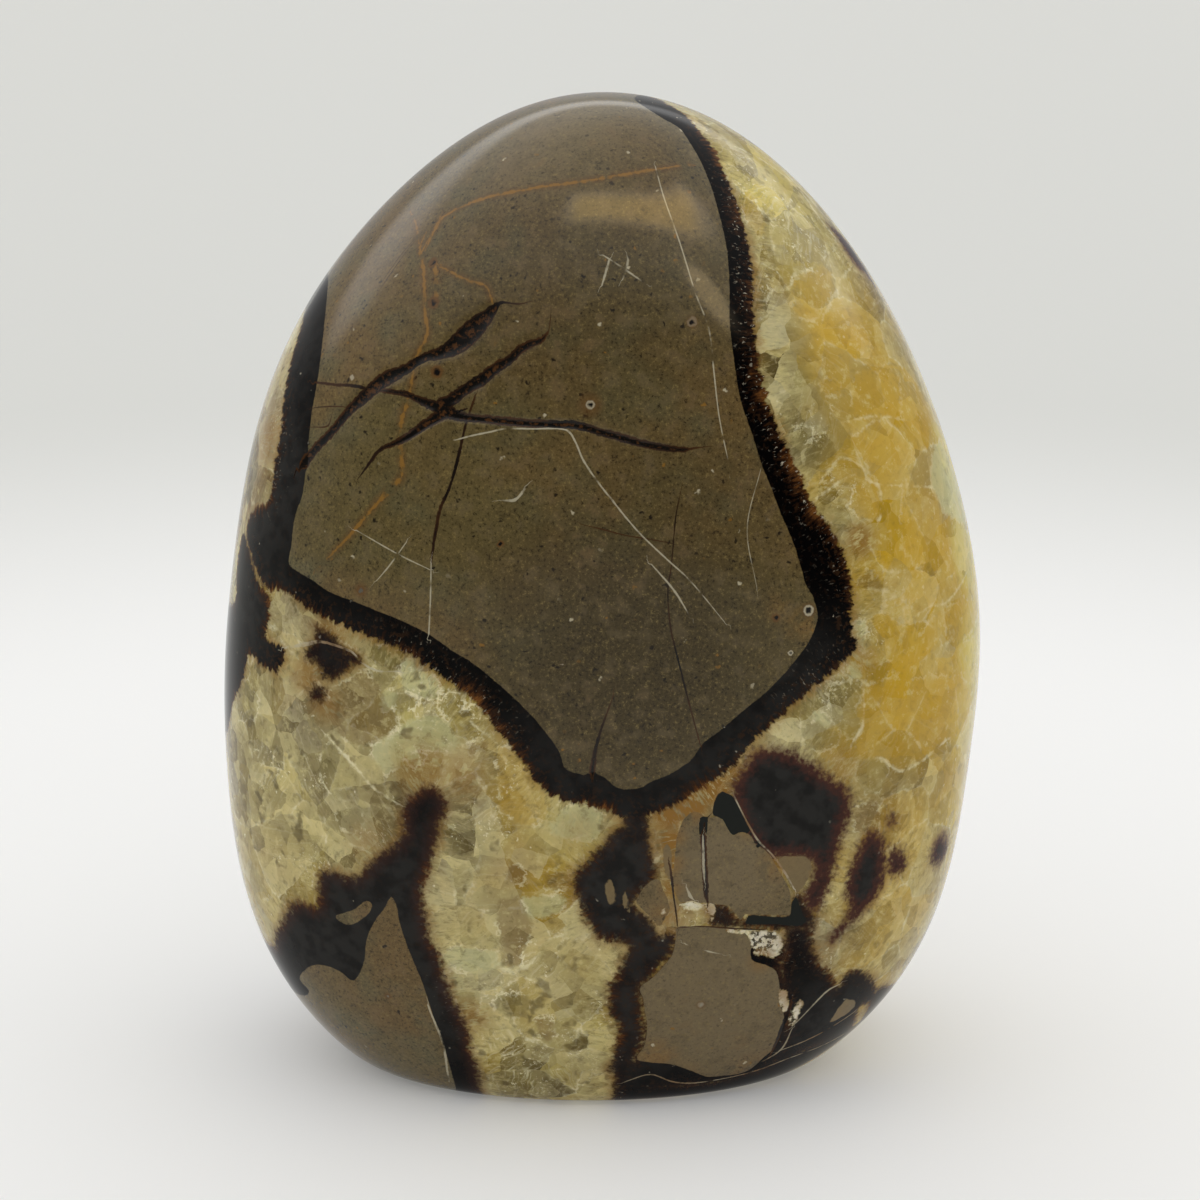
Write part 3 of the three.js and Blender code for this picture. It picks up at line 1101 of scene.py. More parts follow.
LINES: dict[LineKind, tuple[tuple[Mark, ...], ...]] = {
    LineKind.CRACK: (
        ((-37.0, 17.2, 0.8), (-36.0, 18.5, 0.65), (-33.5, 21.2, 0.6), (-31.5, 23.6, 0.65),
         (-29.8, 25.2, 0.8), (-27.8, 27.0, 0.95), (-26.0, 28.1, 0.9), (-24.0, 29.1, 0.6),
         (-21.9, 30.4, 0.6), (-20.0, 30.9, 0.75), (-18.0, 31.9, 1.2), (-16.2, 33.6, 1.35),
         (-14.5, 35.2, 1.0), (-13.4, 36.4, 0.6), (-12.4, 37.2, 0.2), (-11.2, 37.1, 0.1), (-10.0, 37.0, 0.1),
         (-8.5, 37.4, 0.02)),
        ((-19.9, 24.5, 0.8), (-18.5, 25.1, 0.75), (-16.9, 26.4, 0.7), (-15.0, 27.5, 0.75),
         (-13.1, 29.0, 0.7), (-11.2, 30.2, 0.55), (-9.4, 31.8, 0.5), (-7.5, 32.5, 0.4), (-6.5, 33.4, 0.1),
         (-6.2, 35.2, 0.06), (-6.1, 36.5, 0.02)),
        ((-35.6, 27.2, 0.15), (-33.1, 26.9, 0.2), (-31.0, 26.8, 0.2), (-28.8, 26.4, 0.25),
         (-26.2, 26.1, 0.3), (-24.4, 25.8, 0.35), (-22.5, 25.0, 0.45), (-20.5, 24.2, 0.7),
         (-18.8, 23.4, 0.7), (-16.9, 22.9, 0.55), (-13.8, 22.6, 0.5), (-10.0, 22.2, 0.5), (-6.2, 22.0, 0.5),
         (-3.1, 21.9, 0.5), (-0.4, 21.2, 0.45), (2.5, 20.4, 0.5), (5.6, 19.5, 0.45), (8.5, 19.0, 0.4),
         (10.6, 18.8, 0.3), (11.9, 19.0, 0.12), (13.8, 19.2, 0.03)),
        ((-18.5, 23.6, 0.6), (-20.0, 23.1, 0.7), (-21.9, 22.0, 0.6), (-24.0, 20.5, 0.5),
         (-25.6, 19.6, 0.35), (-27.5, 18.8, 0.25), (-28.8, 17.1, 0.2), (-30.2, 15.2, 0.06)),
        ((-15.6, 25.4, 0.12), (-16.5, 22.9, 0.15), (-16.9, 21.5, 0.16), (-17.8, 17.5, 0.2),
         (-18.9, 13.8, 0.18), (-19.8, 11.9, 0.22), (-20.5, 8.8, 0.2), (-21.1, 4.8, 0.12)),
        ((1.8, -11.6, 0.05), (1.0, -13.8, 0.1), (0.2, -16.0, 0.15), (-0.5, -18.5, 0.22),
         (-1.0, -21.4, 0.4)),
        ((-2.5, 9.5, 0.03), (0.4, 8.8, 0.08), (3.1, 8.1, 0.08), (6.2, 7.6, 0.07), (8.9, 7.1, 0.05)),
        ((10.2, 14.1, 0.03), (9.5, 10.6, 0.08), (9.2, 7.5, 0.08), (8.9, 4.1, 0.08), (8.5, 1.4, 0.1),
         (8.6, -1.5, 0.08), (8.9, -3.9, 0.1), (9.9, -8.0, 0.12), (10.9, -12.0, 0.1), (12.5, -18.0, 0.08)),
        ((-23.3, 44.8, 0.03), (-25.6, 41.6, 0.07), (-27.6, 38.7, 0.03)),
        ((-35.9, 24.0, 0.04), (-33.4, 24.2, 0.09), (-31.2, 24.1, 0.04)),
        ((-36.1, 21.6, 0.04), (-34.0, 21.8, 0.09), (-33.5, 23.2, 0.04)),
        ((-27.1, 40.0, 0.03), (-25.0, 43.0, 0.07), (-23.1, 45.2, 0.03)),
        ((12.9, -29.4, 0.42), (13.0, -31.5, 0.36), (13.2, -35.5, 0.34), (13.3, -37.4, 0.22)),
        ((8.7, -33.0, 0.12), (9.0, -35.0, 0.18), (9.2, -37.0, 0.1), (9.5, -39.0, 0.12), (9.7, -40.9, 0.05)),
        ((9.5, -41.0, 0.04), (12.5, -40.8, 0.09), (17.5, -41.1, 0.12), (20.5, -41.2, 0.05)),
        ((23.9, -50.4, 0.2), (22.9, -53.1, 0.28), (21.9, -55.6, 0.22), (21.2, -57.0, 0.08)),
    ),
    LineKind.IRON: (
        ((11.2, 54.4, 0.06), (7.5, 53.9, 0.1), (2.5, 53.1, 0.15), (-3.1, 52.2, 0.15), (-9.9, 51.2, 0.15),
         (-14.5, 50.2, 0.18), (-17.9, 48.9, 0.15), (-19.9, 47.6, 0.15), (-21.5, 44.6, 0.12)),
        ((-22.0, 45.4, 0.1), (-22.5, 44.2, 0.12), (-22.2, 42.2, 0.15), (-22.0, 40.2, 0.15),
         (-21.9, 36.2, 0.15), (-21.6, 33.1, 0.15), (-22.6, 31.2, 0.12), (-23.2, 29.8, 0.12),
         (-23.6, 26.9, 0.12), (-24.1, 24.8, 0.18), (-24.8, 22.5, 0.2), (-24.9, 18.8, 0.2),
         (-24.8, 15.5, 0.2), (-26.0, 14.0, 0.22), (-27.2, 12.9, 0.2), (-28.8, 11.0, 0.15),
         (-30.9, 8.5, 0.12), (-33.1, 6.2, 0.08), (-35.2, 4.0, 0.05)),
        ((-20.6, 41.5, 0.22), (-20.5, 39.6, 0.25), (-20.5, 37.8, 0.15)),
        ((-19.9, 48.0, 0.05), (-20.4, 46.6, 0.14), (-21.4, 45.2, 0.12), (-22.2, 43.6, 0.05)),
        ((-19.9, 41.6, 0.04), (-16.6, 40.0, 0.09), (-14.2, 39.2, 0.08), (-13.6, 37.6, 0.05)),
        ((-23.4, 48.2, 0.04), (-22.9, 46.5, 0.09), (-22.6, 44.6, 0.06)),
    ),
    LineKind.SCRATCH: (
        ((-21.1, 4.8, 0.05), (-21.2, 0.0, 0.08), (-21.4, -4.4, 0.08)),
        ((-18.4, 19.9, 0.05), (-16.2, 20.5, 0.09), (-13.8, 21.0, 0.09), (-11.9, 21.4, 0.09),
         (-8.8, 21.4, 0.09), (-4.1, 21.2, 0.1), (-3.1, 19.8, 0.1), (-2.1, 17.5, 0.1), (0.0, 14.4, 0.09),
         (1.5, 12.5, 0.09), (3.5, 10.0, 0.08), (5.2, 8.1, 0.08), (8.9, 4.6, 0.08), (10.9, 2.8, 0.07),
         (15.6, -2.8, 0.03)),
        ((6.9, 54.2, 0.05), (7.9, 50.6, 0.07), (9.9, 44.9, 0.07), (11.9, 38.5, 0.07), (13.6, 33.9, 0.08),
         (14.2, 28.9, 0.08), (14.9, 22.9, 0.06), (16.2, 16.5, 0.04)),
        ((-12.1, 12.4, 0.1), (-10.6, 12.5, 0.16), (-9.3, 14.0, 0.1)),
        ((3.1, -60.2, 0.04), (6.3, -59.3, 0.09), (9.0, -60.2, 0.1), (11.3, -60.4, 0.1), (15.0, -59.9, 0.08),
         (19.6, -58.8, 0.11), (23.8, -57.2, 0.09), (28.8, -55.2, 0.08), (32.5, -52.8, 0.04)),
        ((-21.5, -50.6, 0.1), (-19.6, -55.6, 0.14), (-18.9, -59.8, 0.12)),
        ((-39.4, -6.0, 0.1), (-36.6, -5.5, 0.24), (-35.0, -5.2, 0.16), (-33.0, -5.7, 0.14),
         (-31.0, -6.5, 0.12), (-30.0, -7.6, 0.1), (-28.5, -8.6, 0.12), (-27.5, -8.9, 0.08),
         (-25.0, -8.9, 0.06)),
        ((0.4, 43.1, 0.05), (3.0, 41.4, 0.1), (5.6, 39.6, 0.06)),
        ((-30.6, 8.8, 0.04), (-25.0, 5.6, 0.07), (-21.3, 3.8, 0.04)),
        ((-24.0, 7.5, 0.04), (-26.4, 4.2, 0.07), (-28.1, 2.2, 0.04)),
        ((16.6, -24.2, 0.06), (18.2, -27.4, 0.09), (19.8, -30.1, 0.1), (21.3, -31.6, 0.09),
         (22.6, -33.2, 0.07), (23.7, -35.2, 0.04)),
        ((19.5, -58.1, 0.05), (22.5, -56.3, 0.12), (24.0, -53.6, 0.06)),
        ((24.0, -53.3, 0.05), (28.5, -48.8, 0.12), (30.0, -48.0, 0.05)),
        ((22.5, -56.3, 0.05), (26.3, -54.8, 0.11), (31.9, -51.4, 0.06)),
        ((12.9, -29.6, 0.06), (12.9, -31.0, 0.13), (13.0, -33.8, 0.14), (13.1, -35.4, 0.05)),
        ((22.1, -32.6, 0.06), (23.2, -34.2, 0.12), (24.3, -36.2, 0.06)),
        ((10.6, -43.0, 0.04), (13.0, -43.8, 0.09), (15.4, -44.3, 0.04)),
        ((10.8, -35.9, 0.06), (11.4, -37.2, 0.16), (11.7, -37.4, 0.05)),
        ((0.2, 39.2, 0.06), (0.9, 41.6, 0.14), (1.2, 42.6, 0.06)),
        ((2.8, 40.0, 0.05), (3.5, 42.2, 0.13), (3.4, 43.2, 0.05)),
        ((6.4, 4.5, 0.04), (9.4, 1.0, 0.11), (11.2, -2.0, 0.04)),
        ((20.2, 16.8, 0.02), (18.4, 9.0, 0.05), (19.6, 1.5, 0.02)),
    ),
    LineKind.HEALED: (
        ((17.5, 56.4, 0.1), (20.2, 55.0, 0.22), (22.5, 53.5, 0.25), (25.0, 51.2, 0.25), (26.9, 48.5, 0.3),
         (28.8, 46.0, 0.25), (30.2, 44.4, 0.1)),
        ((19.3, 37.6, 0.1), (21.0, 37.5, 0.2), (21.3, 38.6, 0.18), (23.8, 39.2, 0.18), (24.0, 40.5, 0.16),
         (26.5, 41.5, 0.14), (28.8, 43.5, 0.08)),
        ((27.8, 35.0, 0.15), (29.0, 37.5, 0.22), (30.6, 40.6, 0.18), (31.4, 41.6, 0.08)),
        ((31.2, 22.4, 0.08), (32.8, 22.8, 0.14), (35.0, 23.0, 0.16), (36.5, 22.8, 0.14),
         (38.0, 22.5, 0.05)),
        ((27.1, 14.1, 0.05), (29.0, 16.6, 0.14), (30.0, 17.8, 0.12), (32.8, 16.6, 0.12), (33.4, 15.2, 0.18),
         (34.9, 14.1, 0.15), (35.1, 10.5, 0.12), (34.8, 9.8, 0.05)),
        ((26.2, 11.9, 0.05), (29.4, 14.4, 0.14), (31.6, 15.6, 0.1), (34.4, 14.6, 0.06), (38.0, 14.3, 0.14),
         (41.2, 14.1, 0.06)),
        ((38.4, -2.8, 0.06), (41.2, -0.8, 0.12), (43.0, -0.5, 0.12), (44.0, 0.4, 0.12), (45.2, 2.1, 0.14),
         (45.8, 3.4, 0.05)),
        ((28.5, -10.1, 0.05), (30.2, -10.4, 0.14), (32.8, -9.1, 0.12), (35.1, -8.1, 0.05)),
        ((31.4, -20.4, 0.06), (33.2, -19.9, 0.12), (35.4, -19.8, 0.12), (36.4, -20.9, 0.12),
         (37.6, -21.4, 0.12), (40.5, -19.9, 0.12), (43.0, -17.8, 0.16), (44.0, -17.0, 0.05)),
        ((31.4, -18.6, 0.05), (31.5, -17.8, 0.14), (32.8, -15.8, 0.14), (32.8, -9.9, 0.08)),
        ((-34.4, -16.6, 0.04), (-30.9, -20.5, 0.14), (-28.4, -23.4, 0.12), (-25.0, -25.6, 0.05)),
        ((-17.0, -14.6, 0.05), (-15.0, -16.2, 0.12), (-13.1, -17.8, 0.08)),
        ((-6.0, -26.2, 0.05), (-5.0, -25.2, 0.1), (-4.2, -24.0, 0.04)),
        ((-13.1, -44.5, 0.05), (-12.4, -46.0, 0.3), (-10.0, -46.4, 0.34), (-9.0, -45.6, 0.1)),
        ((-27.8, -36.9, 0.06), (-26.6, -39.4, 0.1), (-25.0, -41.9, 0.05)),
        ((-26.0, -35.0, 0.06), (-25.6, -37.0, 0.1), (-25.2, -39.4, 0.05)),
    ),
}


class Glow(NamedTuple):
    """A soft patch of one tone in the calcite: where, how far it reaches, and how strong."""

    spot: Spot
    reach: float
    strength: float


# A gap, in radii, at which no pit shows.
NO_PIT = 9.0


class Pit(NamedTuple):
    """A small pit: where, its radius, how pale its heart and rim are, and its stain in radii."""

    spot: Spot
    radius: float
    heart: float = 0.0
    rim: float = 0.0
    stain: float = 1.5


PITS = (
    Pit((-20.9, 42.2), 0.65), Pit((-20.8, 37.2), 0.7, stain=1.8), Pit((-20.4, 28.5), 0.7, stain=1.8),
    Pit((-31.0, 27.8), 0.35, 1.0, 0.8), Pit((11.5, 34.8), 0.6, rim=0.3, stain=1.8),
    Pit((-1.2, 24.4), 0.5, rim=0.8, stain=4.0), Pit((26.1, -1.3), 0.6, rim=1.0, stain=2.2),
    Pit((-29.9, 1.2), 0.5, 0.2, stain=2.6), Pit((23.8, -6.6), 0.35, 0.2, 1.0), Pit((22.0, -2.2), 0.5),
    Pit((-4.9, -8.1), 0.3, 1.0, 0.8), Pit((-12.4, 7.0), 0.45), Pit((-26.5, -49.5), 0.35, 0.3, stain=2.4),
    Pit((12.6, -50.6), 0.4, 0.5, 0.4, 2.2),
)


class Zone(Enum):
    """The tones that the calcite drifts through, and what shows more in places elsewhere, painted shade,
    sheen, glints and glow among them.
    """

    AMBER = "amber"
    MILK = "milk"
    TAN = "tan"
    SMOKE = "smoke"
    # The right rim's tone, with painted glow of light shining through it.
    RIND = "rind"
    # Painted sheen on the dark seams.
    SLATE = "slate"
    # Painted glints: where pale crystal glints show across the seams.
    TICKS = "ticks"
    # Painted shade over the main block and along the foot.
    DEEP = "deep"
    # Lighter tone of the lower blocks, and painted sheen at the crown.
    FAIR = "fair"
    RUSTY = "rusty"
    FROST = "frost"


GLOWS: dict[Zone, tuple[Glow, ...]] = {
    Zone.AMBER: (
        Glow((30.0, 34.0), 22.0, 0.9), Glow((36.0, 20.0), 24.0, 1.0), Glow((40.0, 4.0), 22.0, 1.0),
        Glow((39.0, -12.5), 26.0, 0.9), Glow((40.0, -30.0), 22.0, 0.8), Glow((34.0, -47.0), 16.0, 0.55),
        Glow(Round(105.0, 62.0), 52.0, 0.8), Glow(Round(140.0, 44.0), 40.0, 0.45),
        Glow(Round(225.0, 60.0), 20.0, 0.5), Glow(Round(120.0, 14.0), 22.0, 0.35),
        Glow((-10.0, -25.0), 10.0, 0.3), Glow((-6.0, -43.0), 9.0, 0.3), Glow((-8.0, -34.0), 9.0, 0.3),
        Glow((22.0, 52.0), 17.0, 0.45),
    ),
    Zone.MILK: (
        Glow((22.5, 50.0), 15.0, 0.5), Glow((26.0, 42.0), 8.0, 0.3), Glow((19.0, 57.0), 9.0, 0.3),
        Glow((-22.5, -16.9), 8.0, 0.8), Glow((-41.0, -20.0), 15.0, 0.45), Glow((-35.0, -29.0), 10.0, 0.4),
        Glow((-1.5, -55.0), 8.0, 0.5), Glow((-16.0, -45.2), 7.0, 0.6), Glow((-3.5, -27.5), 7.0, 0.7),
        Glow((-23.0, -9.5), 8.0, 0.7), Glow((-8.0, -59.0), 7.0, 0.5), Glow(Round(240.0, 60.0), 26.0, 0.35),
        Glow(Round(165.0, 8.0), 20.0, 0.4),
    ),
    Zone.TAN: (
        Glow((-37.5, -11.0), 9.0, 0.9), Glow((-38.5, -1.5), 8.0, 0.6), Glow((-17.0, -22.0), 8.0, 0.35),
        Glow((-27.0, -26.5), 6.0, 0.5), Glow((-42.5, 22.0), 16.0, 2.4), Glow((-45.5, 12.0), 13.0, 2.2),
        Glow((-34.0, -9.0), 7.0, 0.5), Glow((35.0, -27.0), 8.0, 0.5), Glow((27.0, -43.0), 8.0, 0.6),
        Glow((22.0, -24.0), 7.0, 0.5), Glow((0.5, -38.0), 7.0, 0.5), Glow((9.5, -39.5), 4.0, 1.3),
        Glow((10.0, -26.5), 5.0, 1.2), Glow((7.0, -31.0), 4.0, 1.0), Glow((-11.0, -33.5), 4.0, 0.5),
        Glow(Round(190.0, 50.0), 24.0, 0.3),
    ),
    Zone.SMOKE: (
        Glow((21.3, 33.5), 6.5, 1.0), Glow((23.0, 27.0), 6.0, 1.0), Glow((24.5, 20.0), 5.5, 0.9),
        Glow((29.0, 9.0), 6.0, 0.7), Glow((27.0, -11.5), 6.5, 0.9), Glow((24.0, -16.5), 6.0, 0.7),
        Glow((-46.0, -6.0), 10.0, 0.8), Glow((-17.0, -30.0), 6.0, 0.8), Glow((-18.5, -48.5), 7.0, 0.6),
        Glow((-42.0, -11.0), 6.0, 0.5), Glow((31.0, -4.0), 4.5, 0.6), Glow((-29.5, -15.0), 6.0, 0.4),
        Glow(Round(210.0, 84.0), 20.0, 0.5), Glow(Round(120.0, 20.0), 18.0, 0.4),
    ),
    # The right rim's yellow grain, partly real tone and partly painted glow of light shining through from
    # behind.
    Zone.RIND: (
        Glow((41.0, 27.0), 8.0, 1.1), Glow((44.0, 16.0), 8.0, 1.1), Glow((46.0, 7.0), 8.0, 0.9),
        Glow((47.0, -5.0), 8.0, 0.7), Glow((46.5, -14.0), 9.0, 0.6), Glow((44.0, -28.0), 8.0, 0.4),
        Glow((22.0, 50.0), 16.0, 0.6),
    ),
    # Painted sheen: the seams greyer where they reflect light, on the left and low down.
    Zone.SLATE: (
        Glow((-41.0, 15.0), 14.0, 1.1), Glow((-38.0, 30.0), 12.0, 0.7), Glow((-43.0, 0.0), 12.0, 0.9),
        Glow((-33.0, -7.0), 10.0, 0.5), Glow((-31.0, -38.0), 24.0, 1.2), Glow((-20.0, -48.0), 16.0, 1.0),
        Glow((3.0, -37.0), 18.0, 1.2), Glow((3.0, -52.0), 16.0, 1.0), Glow((23.0, -26.0), 18.0, 1.2),
        Glow((33.0, -35.0), 14.0, 1.0), Glow((-4.0, -22.0), 14.0, 0.6), Glow((12.0, -24.0), 12.0, 0.8),
        Glow((24.0, -10.0), 9.0, 0.7), Glow((28.0, -52.0), 12.0, 0.8), Glow(Round(200.0, 50.0), 70.0, 0.6),
    ),
    # Painted glints: where pale crystal glints show across the seams.
    Zone.TICKS: (
        Glow((17.5, 46.0), 11.0, 1.2), Glow((19.5, 36.0), 10.0, 1.2), Glow((21.0, 27.0), 9.0, 1.2),
        Glow((24.0, 19.0), 8.0, 1.1), Glow((27.0, 12.0), 7.0, 0.9), Glow((29.0, 3.0), 8.0, 0.4),
        Glow((25.0, -8.0), 7.0, 0.5), Glow((-18.0, -10.0), 14.0, 0.5), Glow((-42.0, 18.0), 12.0, 0.4),
        Glow((-19.0, -50.0), 8.0, 0.4), Glow((12.5, -39.5), 4.5, 1.2), Glow((25.0, -43.0), 5.0, 0.5),
    ),
    # Painted shade: the mudstone darker over the main block and along the foot.
    Zone.DEEP: (
        Glow((4.0, -8.0), 28.0, 1.1), Glow((-14.0, 2.0), 20.0, 0.15), Glow((10.0, 10.0), 22.0, 0.5),
        Glow((0.0, 42.0), 32.0, 0.6), Glow((10.0, -62.0), 8.0, 0.9), Glow((20.0, -60.5), 7.0, 1.0),
        Glow((28.0, -56.0), 7.0, 1.0), Glow((34.0, -52.0), 5.0, 1.0),
    ),
    Zone.RUSTY: (
        Glow((5.0, -28.5), 2.5, 0.8), Glow((8.5, -27.0), 3.0, 1.2), Glow((11.5, -25.8), 3.0, 1.3),
        Glow((14.5, -23.8), 3.2, 1.3), Glow((17.0, -21.8), 3.0, 1.0), Glow((9.0, -30.0), 2.5, 1.2),
        Glow((8.9, -33.0), 2.2, 1.1), Glow((8.8, -36.0), 2.2, 0.9), Glow((32.5, 7.5), 3.0, 0.9),
        Glow((33.0, -7.5), 2.5, 0.5), Glow((-33.5, -4.5), 4.0, 0.8), Glow((-36.5, -9.5), 4.0, 0.8),
        Glow((-34.5, -13.0), 3.5, 0.7), Glow((-17.5, -21.5), 4.5, 0.6), Glow((-41.5, 20.0), 5.0, 0.6),
        Glow((-42.5, 28.0), 5.0, 0.6), Glow((-29.0, -30.5), 4.0, 0.5), Glow((-3.0, -29.0), 3.5, 0.4),
        Glow((30.0, -21.0), 4.0, 0.5), Glow((28.0, -43.5), 3.0, 0.3), Glow((-22.0, -21.0), 5.5, 0.7),
        Glow((8.0, -39.5), 2.5, 0.7), Glow((20.3, -45.0), 2.4, 1.0), Glow((7.0, -57.2), 4.0, 0.9),
        Glow((17.8, -55.0), 1.6, 0.5), Glow((25.4, -3.0), 3.0, 0.7), Glow((22.2, -1.0), 2.5, 0.4),
        Glow((18.5, -28.0), 2.5, 0.9), Glow((22.0, -33.0), 3.0, 0.8), Glow((8.0, -61.0), 7.0, 0.8),
        Glow((20.0, -60.5), 6.0, 0.8), Glow((28.0, -54.0), 7.0, 0.8), Glow((-16.5, -52.0), 4.0, 0.7),
    ),
    Zone.FROST: (
        Glow((-21.5, -11.0), 4.5, 1.0), Glow((-22.0, -16.0), 6.5, 0.9), Glow((-16.5, -12.5), 5.0, 0.7),
        Glow((-41.5, -21.5), 5.0, 0.9), Glow((-36.0, -22.0), 3.5, 0.8), Glow((-28.5, -29.5), 3.0, 0.7),
        Glow((-8.5, -45.5), 5.0, 1.0), Glow((-13.0, -48.0), 4.5, 0.8), Glow((-12.0, -55.5), 4.5, 0.9),
        Glow((-9.0, -58.5), 6.5, 1.0), Glow((-13.5, -18.0), 4.0, 0.7), Glow((-16.5, -26.0), 4.0, 0.6),
        Glow((25.0, 46.5), 9.0, 1.0), Glow((20.5, 39.5), 3.5, 1.0), Glow((19.5, 52.0), 7.0, 0.9),
        Glow((26.5, 22.0), 4.0, 0.6), Glow((30.5, 14.0), 5.0, 0.6), Glow((33.5, -5.0), 4.0, 0.6),
        Glow((28.5, -13.0), 5.0, 0.5), Glow((28.0, -46.0), 5.0, 0.6), Glow((1.0, -52.5), 4.0, 0.5),
        Glow(Round(200.0, 8.0), 16.0, 0.6), Glow(Round(120.0, 40.0), 14.0, 0.5),
        Glow(Round(240.0, 60.0), 14.0, 0.5),
    ),
    # Lighter foot and small blocks, and painted sheen lighter at the crown of the main block.
    Zone.FAIR: (
        Glow((14.0, -50.0), 22.0, 1.2), Glow((15.0, -34.0), 12.0, 1.2), Glow((-6.0, 58.0), 14.0, 0.8),
    ),
}


class Grain(Enum):
    """The tones of the calcite grains that stand out."""

    OLIVE = "olive"
    BROWN = "brown"
    GOLD = "gold"
    MINT = "mint"
    CHALK = "chalk"
    MOSS = "moss"
    LEMON = "lemon"


